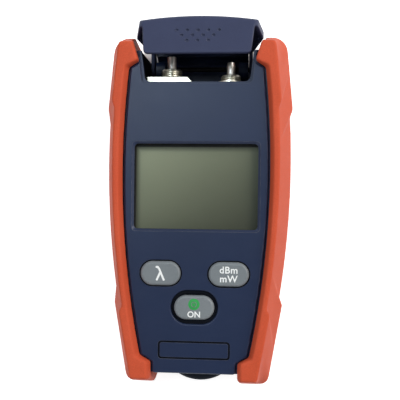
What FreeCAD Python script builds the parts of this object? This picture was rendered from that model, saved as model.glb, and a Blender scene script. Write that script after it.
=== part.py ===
"""Hand-held optical power meter, lying on its back.

Units are millimetres.  The origin is the centre of the flat back, X points to
the right of the face, Y towards the fibre ports and Z out of the display.
Every driving size has a named cell in the sheet "Sizes"; the sketches,
features and placements read those cells through expressions.
"""

import FreeCAD, Part
import math
import os
import re

import Sketcher

V = FreeCAD.Vector
DOC = FreeCAD.newDocument("optical_power_meter")
SHEET = DOC.addObject("Spreadsheet::Sheet", "Sizes")

SIZES = {
    # heights of the case, from the back
    "rear_top": 29.2,
    "rim_top": 31.2,
    "face_top": 33.0,
    "ridge_top": 36.0,
    "back_wall": 2.0,
    # plan of the plastic tub under the grips
    "tub_top_y": 62.3,
    "tub_bottom_y": 63.1,
    "tub_top_half": 29.2,
    "tub_waist_half": 31.2,
    "tub_bottom_half": 23.6,
    "tub_wall": 2.0,
    "front_rim": 4.6,
    "channel_roof": 5.7,
    # inner edge of the grips, which frames the face
    "edge_top_half": 26.5,
    "edge_top_y": 55.4,
    "edge_waist_half": 28.3,
    "edge_bottom_half": 21.2,
    "edge_bottom_y": 56.3,
    "hook_half": 22.6,
    "hook_y": 57.9,
    "horn_half": 24.9,
    "horn_y": 65.2,
    "toe_half": 16.8,
    "toe_y": 58.7,
    "seam": 0.6,
    # outer edge of the grips
    "grip_end_y": 70.0,
    "grip_top_half": 34.9,
    "shoulder_half": 37.7,
    "shoulder_y": 40.8,
    "shoulder_step": 1.1,
    "shoulder_run": 2.8,
    "waist_half": 36.75,
    "heel_half": 33.0,
    "heel_y": 35.7,
    "heel_step": 1.3,
    "heel_run": 2.0,
    "foot_half": 28.7,
    "grip_low": 0.5,
    "grip_belt": 18.0,
    "grip_upper_slope": 15.5,
    "grip_lower_slope": 8.0,
    "bevel_width": 1.3,
    "bevel_drop": 2.9,
    "bevel_angle": 24.0,
    "mould_gap": 0.1,
    "tip_round": 1.2,
    "hollow_top": 30.2,
    "hollow_gap": 0.7,
    # display
    "view_wide": 49.0,
    "view_high": 34.0,
    "view_y": 9.3,
    "view_corner": 1.2,
    "lens_border": 1.2,
    "lens_thick": 1.4,
    "gasket_thick": 1.0,
    "glass_border": 0.7,
    "glass_thick": 2.8,
    "holder_wall": 1.4,
    "holder_gap": 0.2,
    # keys
    "key_wide": 15.6,
    "key_high": 9.4,
    "key_gap": 0.5,
    "key_proud": 1.1,
    "key_flange": 1.0,
    "key_flange_thick": 0.9,
    "key_travel": 0.8,
    "key_slack": 0.3,
    "side_key_x": 13.2,
    "side_key_y": -24.4,
    "low_key_y": -37.4,
    "well_wide": 18.2,
    "well_high": 13.0,
    "well_depth": 1.0,
    "well_round": 0.6,
    # plate frame near the bottom
    "plate_wide": 27.9,
    "plate_high": 7.0,
    "plate_y": -54.0,
    "plate_groove": 0.7,
    "plate_depth": 0.4,
    # port bay
    "bay_bottom_y": 50.1,
    "bay_low_half": 20.5,
    "bay_high_half": 21.9,
    "bay_corner": 2.4,
    "rabbet_wide": 1.0,
    "rabbet_deep": 1.75,
    "bulkhead_face_y": 50.3,
    "bulkhead_thick": 3.5,
    "tray_wall": 1.5,
    # dust cover and its hinge
    "hinge_y": 59.0,
    "hinge_z": 7.0,
    "cover_open": 22.0,
    "cover_low_half": 21.2,
    "cover_shoulder_half": 25.7,
    "cover_shoulder_z": 16.5,
    "cover_crown_half": 23.2,
    "cover_crown_y": 9.5,
    "cover_corner_y": 7.4,
    "cover_root_corner_y": 9.1,
    "cover_front_y": 3.9,
    "cover_flare_z": 6.0,
    "cover_wall": 1.5,
    "cover_crown_round": 2.2,
    "flap_low_half": 20.9,
    "flap_high_half": 22.2,
    "flap_corner": 1.8,
    "flap_gap": 0.45,
    "ear_radius": 3.0,
    "pin_radius": 1.0,
    "pin_play": 0.05,
    "nose_radius": 7.25,
    "nose_wall": 1.6,
    "nose_root": 0.6,
    "lug_inner": 15.4,
    "side_play": 0.35,
    # fibre ports
    "port_z": 18.0,
    "detector_x": -11.5,
    "laser_x": 12.6,
    "flange_wide": 17.5,
    "flange_thick": 2.4,
    "flange_cut": 1.7,
    "thread_radius": 4.0,
    "detector_top_y": 57.0,
    "laser_top_y": 54.5,
    "detector_tip_y": 62.3,
    "laser_tip_y": 59.8,
    "sleeve_radius": 1.85,
    "ferrule_bore": 1.26,
    "module_radius": 4.6,
    "module_y": 38.6,
    # circuit board
    "board_gap": 2.0,
    "board_thick": 1.6,
    "board_half": 18.0,
    "board_top_y": 38.0,
    "board_low_y": 50.0,
    "stud_x": 14.0,
    "stud_top_y": 34.0,
    "stud_low_y": 46.0,
    "stud_radius": 2.3,
    # battery bay, for two AA cells
    "cell_radius": 7.15,
    "cell_length": 50.5,
    "cell_space": 0.7,
    "cell_gap": 0.35,
    "spring_free": 2.6,
    "contact_thick": 0.5,
    "bay_wall": 1.5,
    "bay_low_y": -54.6,
    "door_thick": 1.8,
    "door_lip": 1.6,
    "door_gap": 0.3,
    # tilt stand
    "stand_pivot_y": 1.6,
    "stand_thick": 3.1,
    "stand_lift": 0.3,
    "stand_outer": 23.8,
    "stand_inner": 19.2,
    "stand_bend_y": -50.0,
    "stand_neck": 16.1,
    "stand_neck_y": -62.3,
    "stand_bar_y": -57.7,
    "stand_bar_half": 17.8,
    "stand_tip_y": -72.8,
    "stand_gap": 0.35,
    "trunnion_radius": 1.2,
    "trunnion_long": 1.6,
    "trunnion_play": 0.05,
    # fasteners
    "top_screw_x": 22.0,
    "top_screw_y": 40.0,
    "low_screw_x": 20.8,
    "low_screw_y": -50.0,
    "boss_radius": 2.7,
    "boss_top": 22.0,
    "screw_radius": 1.25,
    "head_radius": 2.3,
    "head_thick": 1.5,
}


def fill_sheet():
    """Write each size into its own cell and name the cell after it."""
    for row, (alias, value) in enumerate(SIZES.items(), start=1):
        SHEET.set(f"A{row}", alias.replace("_", " "))
        SHEET.set(f"B{row}", str(value))
        SHEET.setAlias(f"B{row}", alias)
    DOC.recompute()


def linked(text):
    """Turn plain alias words in a formula into references to the sheet."""
    def swap(found):
        word = found.group()
        return f"Sizes.{word}" if word in SIZES else word
    return re.sub(r"[a-z_]+", swap, str(text))


def value(text):
    """Value of a formula of alias words."""
    return float(SHEET.evalExpression(str(text)))


def bind(thing, prop, text):
    """Drive one property of an object with a formula."""
    thing.setExpression(prop, linked(text))


def new_body(name):
    """A PartDesign body whose label is the name of the piece."""
    body = DOC.addObject("PartDesign::Body", name)
    body.Label = name
    return body


def sketch_on(body, name, role, level="0", along="0", up="0"):
    """A sketch on an origin plane of the body, shifted along its normal."""
    plane = [item for item in body.Origin.OriginFeatures if item.Role == role][0]
    sketch = body.newObject("Sketcher::SketchObject", name)
    sketch.AttachmentSupport = (plane, [""])
    sketch.MapMode = "FlatFace"
    bind(sketch, "AttachmentOffset.Base.x", along)
    bind(sketch, "AttachmentOffset.Base.y", up)
    bind(sketch, "AttachmentOffset.Base.z", level)
    return sketch


def fix_point(sketch, index, end, x, y):
    """Hold one point of a sketch at a place given by two formulas."""
    kx = sketch.addConstraint(Sketcher.Constraint("DistanceX", index, end, value(x)))
    bind(sketch, f"Constraints[{kx}]", x)
    ky = sketch.addConstraint(Sketcher.Constraint("DistanceY", index, end, value(y)))
    bind(sketch, f"Constraints[{ky}]", y)


def corner_points(before, here, after, radius):
    """Tangent points and middle of the arc that rounds one corner."""
    back = (before - here).normalize()
    ahead = (after - here).normalize()
    half = back.getAngle(ahead) / 2
    reach = radius / math.tan(half)
    centre = here + (back + ahead).normalize() * (radius / math.sin(half))
    middle = centre + (here - centre).normalize() * radius
    return here + back * reach, middle, here + ahead * reach


def arc_through(first, middle, last):
    """Counter-clockwise arc on three points, and whether it starts at the last."""
    raw = Part.Circle(first, middle, last)
    centre = raw.Center
    turn = (middle - first).cross(last - middle).z
    start, end = (first, last) if turn > 0 else (last, first)
    low = math.atan2(start.y - centre.y, start.x - centre.x)
    high = math.atan2(end.y - centre.y, end.x - centre.x)
    if high <= low:
        high += 2 * math.pi
    ring = Part.Circle(V(centre.x, centre.y, 0), V(0, 0, 1), raw.Radius)
    return Part.ArcOfCircle(ring, low, high), turn < 0


def outline(sketch, corners):
    """Closed outline through corners (x, y), (x, y, radius) or arcs.

    A corner is a pair of formulas.  A third formula rounds it.  An entry
    ("arc", x, y) bends the next side into an arc through that point.
    """
    points = []
    bends = {}
    for corner in corners:
        if corner[0] == "arc":
            bends[len(points) - 1] = (corner[1], corner[2])
        else:
            points.append(corner)
    places = [V(value(p[0]), value(p[1]), 0) for p in points]
    count = len(points)
    starts = list(places)
    ends = list(places)
    rounds = {}
    for i, point in enumerate(points):
        if len(point) == 3:
            before = places[i - 1]
            after = places[(i + 1) % count]
            first, middle, last = corner_points(before, places[i], after, value(point[2]))
            rounds[i] = (first, middle, last)
            ends[i] = first
            starts[i] = last
    sides = []
    tips = []
    for i in range(count):
        a = starts[i]
        b = ends[(i + 1) % count]
        flipped = False
        if i in bends:
            through = V(value(bends[i][0]), value(bends[i][1]), 0)
            side, flipped = arc_through(a, through, b)
        else:
            side = Part.LineSegment(a, b)
        sides.append(sketch.addGeometry(side))
        tips.append((2, 1) if flipped else (1, 2))
    for i in range(count):
        side_in = sides[i - 1]
        side_out = sides[i]
        tip_in = tips[i - 1][1]
        tip_out = tips[i][0]
        if i in rounds:
            first, middle, last = rounds[i]
            curve, flipped = arc_through(first, middle, last)
            arc = sketch.addGeometry(curve)
            near, far = (2, 1) if flipped else (1, 2)
            mark = sketch.addGeometry(Part.Point(places[i]), True)
            fix_point(sketch, mark, 1, points[i][0], points[i][1])
            sketch.addConstraint(Sketcher.Constraint("PointOnObject", mark, 1, side_in))
            sketch.addConstraint(Sketcher.Constraint("PointOnObject", mark, 1, side_out))
            sketch.addConstraint(Sketcher.Constraint("Tangent", side_in, tip_in, arc, near))
            sketch.addConstraint(Sketcher.Constraint("Tangent", arc, far, side_out, tip_out))
            turn = sketch.addConstraint(Sketcher.Constraint("Radius", arc, value(points[i][2])))
            bind(sketch, f"Constraints[{turn}]", points[i][2])
        else:
            sketch.addConstraint(Sketcher.Constraint("Coincident", side_in, tip_in, side_out, tip_out))
            fix_point(sketch, side_out, tip_out, points[i][0], points[i][1])
    for i, (x, y) in bends.items():
        mark = sketch.addGeometry(Part.Point(V(value(x), value(y), 0)), True)
        fix_point(sketch, mark, 1, x, y)
        sketch.addConstraint(Sketcher.Constraint("PointOnObject", mark, 1, sides[i]))


def box_outline(sketch, left, low, right, high, radius=None):
    """Rectangle between four formulas, with rounded corners if asked."""
    tail = () if radius is None else (radius,)
    outline(sketch, [(left, low) + tail, (right, low) + tail, (right, high) + tail, (left, high) + tail])


def centred_box(sketch, x, y, wide, high, radius=None):
    """Rectangle given by its centre and its two sizes."""
    box_outline(sketch, f"{x} - ({wide}) / 2", f"{y} - ({high}) / 2",
                f"{x} + ({wide}) / 2", f"{y} + ({high}) / 2", radius)


def mirrored_outline(sketch, corners):
    """Close a right-hand chain of corners with its mirror image in X."""
    left = []
    for corner in reversed(corners):
        if corner[0] == "arc":
            left.append(("arc", f"-({corner[1]})", corner[2]))
        else:
            left.append((f"-({corner[0]})",) + tuple(corner[1:]))
    outline(sketch, corners + left)


def circle(sketch, x, y, radius):
    """Circle whose centre and radius are formulas."""
    ring = sketch.addGeometry(Part.Circle(V(value(x), value(y), 0), V(0, 0, 1), value(radius)))
    fix_point(sketch, ring, 3, x, y)
    size = sketch.addConstraint(Sketcher.Constraint("Radius", ring, value(radius)))
    bind(sketch, f"Constraints[{size}]", radius)


def pad(body, sketch, length, taper="0", down=False):
    """Raise a sketch along its normal, or against it."""
    feature = body.newObject("PartDesign::Pad", sketch.Name + "_pad")
    feature.Profile = sketch
    bind(feature, "Length", length)
    feature.Reversed = down
    if taper != "0":
        bind(feature, "TaperAngle", taper)
    sketch.Visibility = False
    DOC.recompute()
    return feature


def pocket(body, sketch, depth, up=False):
    """Cut a sketch down into the body, or up into it, and prove that it cut."""
    before = body.Tip.Shape.Volume
    feature = body.newObject("PartDesign::Pocket", sketch.Name + "_cut")
    feature.Profile = sketch
    bind(feature, "Length", depth)
    feature.Reversed = up
    DOC.recompute()
    if feature.Shape.Volume > before - 1e-3:
        raise RuntimeError(f"{feature.Name} removed nothing")
    return feature


def spin(body, sketch, cut=False):
    """Turn a sketch about its own horizontal axis."""
    kind = "PartDesign::Groove" if cut else "PartDesign::Revolution"
    feature = body.newObject(kind, sketch.Name + "_turn")
    feature.Profile = sketch
    feature.ReferenceAxis = (sketch, ["H_Axis"])
    feature.Angle = 360
    DOC.recompute()
    return feature


def loft(body, sketches, cut=False):
    """Ruled loft through two or more sketches."""
    kind = "PartDesign::SubtractiveLoft" if cut else "PartDesign::AdditiveLoft"
    feature = body.newObject(kind, sketches[0].Name + "_loft")
    feature.Profile = sketches[0]
    feature.Sections = sketches[1:]
    feature.Ruled = True
    DOC.recompute()
    return feature


def chosen_edges(feature, test):
    """Names of the edges of a feature that pass a test."""
    edges = enumerate(feature.Shape.Edges, start=1)
    return [f"Edge{number}" for number, edge in edges if test(edge)]


def fillet(body, radius, test, name):
    """Round the edges of the body's tip that pass a test."""
    base = body.Tip
    names = chosen_edges(base, test)
    if not names:
        raise RuntimeError(f"{name} found no edge")
    feature = body.newObject("PartDesign::Fillet", name)
    feature.Base = (base, names)
    bind(feature, "Radius", radius)
    DOC.recompute()
    return feature


def chamfer(body, size, test, name, second=None):
    """Bevel the edges of the body's tip that pass a test."""
    base = body.Tip
    names = chosen_edges(base, test)
    if not names:
        raise RuntimeError(f"{name} found no edge")
    feature = body.newObject("PartDesign::Chamfer", name)
    feature.Base = (base, names)
    bind(feature, "Size", size)
    if second is not None:
        feature.ChamferType = "Two distances"
        bind(feature, "Size2", second)
    DOC.recompute()
    return feature


def flat_at(z):
    """Test for edges that lie level at one height."""
    height = value(z)
    def test(edge):
        box = edge.BoundBox
        return abs(box.ZMin - height) < 1e-4 and abs(box.ZMax - height) < 1e-4
    return test


# ---------------------------------------------------------------- the case


def tub_outline(sketch, inset):
    """Outline of the plastic tub, moved in by an inset."""
    mirrored_outline(sketch, [
        (f"tub_bottom_half - {inset}", f"-tub_bottom_y + {inset}"),
        ("arc", f"tub_waist_half - {inset}", "0"),
        (f"tub_top_half - {inset}", f"tub_top_y - {inset}"),
    ])


def edge_chain(gap, hook_gap=None):
    """Right-hand inner edge of the grip from toe to hook, moved by a gap."""
    tip = gap if hook_gap is None else hook_gap
    return [
        (f"toe_half - {gap}", f"-toe_y - 0.3 * ({gap})"),
        (f"edge_bottom_half - {gap}", f"-edge_bottom_y + 0.3 * ({gap})"),
        ("arc", f"edge_waist_half - {gap}", "0"),
        (f"edge_top_half - {gap}", f"edge_top_y - 0.3 * ({gap})"),
        (f"hook_half - {tip}", f"hook_y - 0.3 * ({tip})"),
    ]


def make_rear_shell():
    """Deep tub with the battery bay, stand channel, bosses and cover nose."""
    body = new_body("rear_shell")
    base = sketch_on(body, "rear_base", "XY_Plane")
    tub_outline(base, "0")
    pad(body, base, "rear_top")

    upper = sketch_on(body, "rear_upper_room", "XY_Plane", "rear_top")
    tub_outline(upper, "tub_wall")
    pocket(body, upper, f"rear_top - ({BAY_TOP})")

    middle = sketch_on(body, "rear_side_room", "XY_Plane", BAY_TOP)
    tub_outline(middle, "tub_wall")
    box_outline(middle, f"-({BAY_HALF} + bay_wall)", "bay_low_y - bay_wall",
                f"{BAY_HALF} + bay_wall", f"{BAY_HIGH} + bay_wall")
    pocket(body, middle, f"{BAY_TOP} - channel_roof")

    floor = sketch_on(body, "rear_top_room", "XY_Plane", "channel_roof")
    box_outline(floor, "-(tub_top_half - tub_wall - 1)", "stand_pivot_y + 6",
                "tub_top_half - tub_wall - 1", "tub_top_y - tub_wall")
    pocket(body, floor, "channel_roof - back_wall")

    door = sketch_on(body, "rear_door_seat", "XY_Plane")
    box_outline(door, f"-({DOOR_HALF} + door_gap)", f"{DOOR_LOW} - door_gap",
                f"{DOOR_HALF} + door_gap", f"{DOOR_HIGH} + door_gap", "1.6")
    pocket(body, door, "back_wall", up=True)

    bay = sketch_on(body, "rear_cell_bay", "XY_Plane", "0")
    box_outline(bay, f"-({BAY_HALF})", "bay_low_y", BAY_HALF, BAY_HIGH)
    pocket(body, bay, f"{BAY_TOP} - bay_wall", up=True)

    channel = sketch_on(body, "rear_stand_channel", "XY_Plane")
    mirrored_outline(channel, [
        ("stand_neck + stand_gap", "-tub_bottom_y - 1"),
        ("stand_neck + stand_gap", "stand_neck_y"),
        ("stand_outer + stand_gap", "stand_bend_y"),
        ("stand_outer + stand_gap", "stand_pivot_y + stand_thick / 2 + stand_gap"),
        ("stand_inner - stand_gap", "stand_pivot_y + stand_thick / 2 + stand_gap"),
        ("stand_inner - stand_gap", "stand_bend_y"),
        ("stand_bar_half - stand_gap", "stand_bar_y + stand_gap"),
    ])
    pocket(body, channel, "stand_lift + stand_thick + stand_gap", up=True)

    socket = sketch_on(body, "rear_stand_sockets", "YZ_Plane", "0")
    circle(socket, "stand_pivot_y", "stand_lift + stand_thick / 2", "trunnion_radius + trunnion_play")
    both = pocket(body, socket, "2 * (stand_outer + trunnion_long + stand_gap)")
    both.Midplane = True
    DOC.recompute()

    gate = sketch_on(body, "rear_port_gate", "XY_Plane", "rear_top")
    box_outline(gate, f"-({TRAY_HALF})", "tub_top_y - tub_wall - 0.5", TRAY_HALF, "tub_top_y + 1")
    pocket(body, gate, "rear_top - back_wall")

    slots = sketch_on(body, "rear_ear_slots", "XY_Plane")
    mirrored_pair(slots, f"{EAR_INNER} - side_play", "hinge_y - 7", "cover_low_half + side_play",
                  "tub_top_y + 1")
    pocket(body, slots, "back_wall", up=True)
    end = sketch_on(body, "rear_end_trim", "XY_Plane")
    box_outline(end, f"-({EAR_INNER})", "hinge_y + nose_root + 0.5", EAR_INNER, "tub_top_y + 1")
    pocket(body, end, "back_wall", up=True)

    nose = sketch_on(body, "rear_nose", "YZ_Plane", f"-({EAR_INNER} - side_play)", "hinge_y", "hinge_z")
    outline(nose, [
        ("nose_root", "-hinge_z"),
        ("sqrt(nose_radius ^ 2 - hinge_z ^ 2)", "-hinge_z"),
        ("arc", "nose_radius * cos(35 deg)", "-nose_radius * sin(35 deg)"),
        ("nose_radius", "0"),
        ("nose_radius - nose_wall", "0"),
        ("arc", "(nose_radius - nose_wall) * cos(27 deg)", "-(nose_radius - nose_wall) * sin(27 deg)"),
        ("sqrt((nose_radius - nose_wall) ^ 2 - (hinge_z - back_wall) ^ 2)", "-hinge_z + back_wall"),
        ("nose_root", "-hinge_z + back_wall"),
    ])
    pad(body, nose, f"2 * ({EAR_INNER} - side_play)")

    for side, start in (("right", "lug_inner"), ("left", f"-({EAR_INNER} - side_play)")):
        lug = sketch_on(body, f"rear_lug_{side}", "YZ_Plane", start, "hinge_y", "hinge_z")
        outline(lug, [
            ("-ear_radius - 1.4", "-hinge_z + back_wall / 2"),
            ("ear_radius + 0.4", "-hinge_z + back_wall / 2"),
            ("ear_radius", "ear_radius", "ear_radius - 0.2"),
            ("-ear_radius", "ear_radius", "ear_radius - 0.2"),
        ])
        pad(body, lug, f"{EAR_INNER} - side_play - lug_inner")
    bore = sketch_on(body, "rear_lug_bore", "YZ_Plane", "0", "hinge_y", "hinge_z")
    circle(bore, "0", "0", "pin_radius + pin_play")
    through = pocket(body, bore, "2 * cover_low_half")
    through.Midplane = True
    DOC.recompute()

    bosses = sketch_on(body, "rear_bosses", "XY_Plane", "back_wall")
    for sign in ("", "-"):
        circle(bosses, f"{sign}top_screw_x", "top_screw_y", "boss_radius + 0.3")
    pad(body, bosses, "boss_top - back_wall")
    lower = sketch_on(body, "rear_low_bosses", "XY_Plane", "channel_roof - 0.5")
    for sign in ("", "-"):
        circle(lower, f"{sign}low_screw_x", "low_screw_y", "boss_radius")
    pad(body, lower, "boss_top - channel_roof + 0.5")
    studs = sketch_on(body, "rear_board_studs", "XY_Plane", "back_wall")
    for sign in ("", "-"):
        circle(studs, f"{sign}stud_x", "stud_top_y", "stud_radius")
    pad(body, studs, f"{BOARD_Z} - back_wall")
    pads = sketch_on(body, "rear_board_pads", "XY_Plane", BAY_TOP)
    for sign in ("", "-"):
        circle(pads, f"{sign}stud_x", "-stud_low_y", "stud_radius")
    pad(body, pads, "board_gap")

    shanks = sketch_on(body, "rear_screw_ways", "XY_Plane")
    heads = sketch_on(body, "rear_head_seats", "XY_Plane")
    for sign in ("", "-"):
        circle(shanks, f"{sign}top_screw_x", "top_screw_y", "screw_radius + 0.15")
        circle(shanks, f"{sign}low_screw_x", "low_screw_y", "screw_radius + 0.15")
        circle(heads, f"{sign}top_screw_x", "top_screw_y", "head_radius + 0.2")
    pocket(body, shanks, "rear_top", up=True)
    pocket(body, heads, "head_thick + 0.5", up=True)
    deep = sketch_on(body, "rear_deep_seats", "XY_Plane")
    for sign in ("", "-"):
        circle(deep, f"{sign}low_screw_x", "low_screw_y", "head_radius + 0.2")
    pocket(body, deep, f"{LOW_HEAD_Z} + head_thick", up=True)
    return body


def mirrored_pair(sketch, near, low, far, high):
    """Two rectangles, one each side of the centre line."""
    box_outline(sketch, near, low, far, high)
    box_outline(sketch, f"-({far})", low, f"-({near})", high)


def make_front_shell():
    """Face of the case with its window, key holes and port cut-out."""
    body = new_body("front_shell")
    rim = sketch_on(body, "front_rim_plan", "XY_Plane", "rear_top")
    tub_outline(rim, "0")
    pad(body, rim, "rim_top - rear_top")

    face = sketch_on(body, "front_face_plan", "XY_Plane", "rim_top")
    chain = [("toe_half - seam", "-tub_bottom_y", "1.2")] + edge_chain("seam")
    chain += [("horn_half - seam - 0.9", "tub_top_y", "0.5")]
    mirrored_outline(face, chain)
    pad(body, face, "face_top - rim_top")
    fillet(body, "0.7", flat_at("face_top"), "front_face_round")

    room = sketch_on(body, "front_room", "XY_Plane", "rear_top")
    mirrored_outline(room, [
        ("tub_bottom_half - front_rim", "-tub_bottom_y + front_rim"),
        ("arc", "tub_waist_half - front_rim", "0"),
        ("tub_top_half - front_rim", "bay_bottom_y - 3.4"),
    ])
    pocket(body, room, "rim_top - rear_top", up=True)

    rabbet = sketch_on(body, "front_rabbet", "XY_Plane", "face_top")
    bay_outline(rabbet, "rabbet_wide")
    pocket(body, rabbet, "rabbet_deep")
    bay = sketch_on(body, "front_port_bay", "XY_Plane", "face_top")
    bay_outline(bay, "0")
    pocket(body, bay, "face_top - rear_top")

    window = sketch_on(body, "front_window", "XY_Plane", "face_top")
    centred_box(window, "0", "view_y", "view_wide", "view_high", "view_corner")
    pocket(body, window, "face_top - rim_top")

    def window_rim(edge):
        box = edge.BoundBox
        level = abs(box.ZMin - value("face_top")) < 1e-4 and abs(box.ZMax - value("face_top")) < 1e-4
        middle = box.Center
        inside = abs(middle.x) < value("view_wide / 2 + 0.1")
        return level and inside and abs(middle.y - value("view_y")) < value("view_high / 2 + 0.1")
    chamfer(body, "0.5", window_rim, "front_window_bevel", "0.9")

    well = sketch_on(body, "front_key_well", "XY_Plane", "face_top")
    centred_box(well, "0", "low_key_y", "well_wide", "well_high", "well_high / 2 - 0.02")
    pocket(body, well, "well_depth")

    def well_rim(edge):
        box = edge.BoundBox
        level = abs(box.ZMin - value("face_top")) < 1e-4 and abs(box.ZMax - value("face_top")) < 1e-4
        middle = box.Center
        near = abs(middle.y - value("low_key_y")) < value("well_high / 2 + 0.1")
        return level and near and abs(middle.x) < value("well_wide / 2 + 0.1")
    fillet(body, "well_round", well_rim, "front_well_round")

    keys = sketch_on(body, "front_key_holes", "XY_Plane", "face_top")
    for x, y in KEY_PLACES.values():
        centred_box(keys, x, y, "key_wide + 2 * key_gap", "key_high + 2 * key_gap",
                    "key_high / 2 + key_gap - 0.02")
    pocket(body, keys, "face_top - rim_top")

    groove = sketch_on(body, "front_plate_groove", "XY_Plane", "face_top")
    centred_box(groove, "0", "plate_y", "plate_wide", "plate_high", "1.3")
    centred_box(groove, "0", "plate_y", "plate_wide - 2 * plate_groove",
                "plate_high - 2 * plate_groove", "0.8")
    pocket(body, groove, "plate_depth")

    posts = sketch_on(body, "front_posts", "XY_Plane", "boss_top + 0.3")
    for sign in ("", "-"):
        circle(posts, f"{sign}top_screw_x", "top_screw_y", "boss_radius")
        circle(posts, f"{sign}low_screw_x", "low_screw_y", "boss_radius")
    pad(body, posts, "rim_top - boss_top - 0.3")
    holes = sketch_on(body, "front_post_holes", "XY_Plane", "boss_top + 0.3")
    for sign in ("", "-"):
        circle(holes, f"{sign}top_screw_x", "top_screw_y", "screw_radius")
        circle(holes, f"{sign}low_screw_x", "low_screw_y", "screw_radius")
    pocket(body, holes, "6.5", up=True)
    return body


def bay_outline(sketch, grow):
    """Trapezoid of the port bay, open past the top end of the case."""
    mirrored_outline(sketch, [
        (f"bay_low_half + {grow}", f"bay_bottom_y - {grow}", "bay_corner"),
        (f"bay_high_half + {grow} + 0.3", "tub_top_y + 2"),
    ])


def plan_of_opening(sketch, gap, horn_gap):
    """Region inside the right grip that the face and the port bay take."""
    outline(sketch, [
        ("6", "-grip_end_y - 9"),
        (f"toe_half - {gap}", "-grip_end_y - 9"),
    ] + edge_chain(gap, horn_gap) + [
        (f"horn_half - {horn_gap}", "horn_y"),
        (f"horn_half + 1 - {horn_gap}", "grip_end_y + 9"),
        ("6", "grip_end_y + 9"),
    ])


def make_grips():
    """Rubber side grips: tapered up and down from the belt, hollowed over the tub."""
    name = "right_grip"
    body = new_body(name)

    def plan(sketch):
        outline(sketch, [
            ("9", "-grip_end_y"),
            ("foot_half", "-grip_end_y", "3.4"),
            ("heel_half + heel_step", "-heel_y - heel_run"),
            ("heel_half", "-heel_y"),
            ("arc", "waist_half", "1.3"),
            ("shoulder_half - shoulder_step", "shoulder_y - shoulder_run"),
            ("shoulder_half", "shoulder_y"),
            ("grip_top_half", "grip_end_y", "6.2"),
            ("9", "grip_end_y"),
        ])

    upper = sketch_on(body, name + "_upper_plan", "XY_Plane", "grip_belt")
    plan(upper)
    pad(body, upper, "ridge_top - grip_belt", "-grip_upper_slope")
    lower = sketch_on(body, name + "_lower_plan", "XY_Plane", "grip_belt")
    plan(lower)
    pad(body, lower, "grip_belt - grip_low", "-grip_lower_slope", down=True)

    opening = sketch_on(body, name + "_opening", "XY_Plane", "ridge_top + 1")
    plan_of_opening(opening, "0", "0")
    pocket(body, opening, "ridge_top + 2")

    def tip_corner(edge):
        box = edge.BoundBox
        foot = box.YMin < value("-toe_y - 6") and box.Center.x < value("toe_half + 0.5")
        horn = box.YMax > value("horn_y + 4") and box.Center.x < value("horn_half + 1.5")
        return box.ZLength > value("grip_belt / 2") and (foot or horn)
    fillet(body, "tip_round", tip_corner, name + "_tips")

    bevel = sketch_on(body, name + "_bevel", "XY_Plane", "ridge_top")
    plan_of_opening(bevel, "-bevel_width", "-0.2")
    slope = pocket(body, bevel, "bevel_drop")
    bind(slope, "TaperAngle", "-bevel_angle")
    DOC.recompute()

    hollow = sketch_on(body, name + "_cover_room", "XY_Plane", "hollow_top")
    box_outline(hollow, "6", "tub_top_y - 1", "cover_shoulder_half + hollow_gap", "grip_end_y + 1")
    pocket(body, hollow, "hollow_top + 1")

    tub = sketch_on(body, name + "_tub_room", "XY_Plane", "rim_top + mould_gap")
    tub_outline(tub, "-mould_gap")
    pocket(body, tub, "rim_top + 2")

    left = DOC.addObject("Part::Mirroring", "left_grip")
    left.Label = "left_grip"
    left.Source = body
    left.Normal = V(1, 0, 0)
    DOC.recompute()


# ------------------------------------------------------------- dust cover


def cover_plan(sketch, half, inset, front, corner):
    """Plan of the cover at one height, arched at its crown end."""
    outline(sketch, [
        (f"-({half} - {inset})", front),
        (f"{half} - {inset}", front),
        (f"{half} - {inset}", f"{corner} - {inset}"),
        ("arc", "0", f"cover_crown_y - {inset}"),
        (f"-({half} - {inset})", f"{corner} - {inset}"),
    ])


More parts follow.
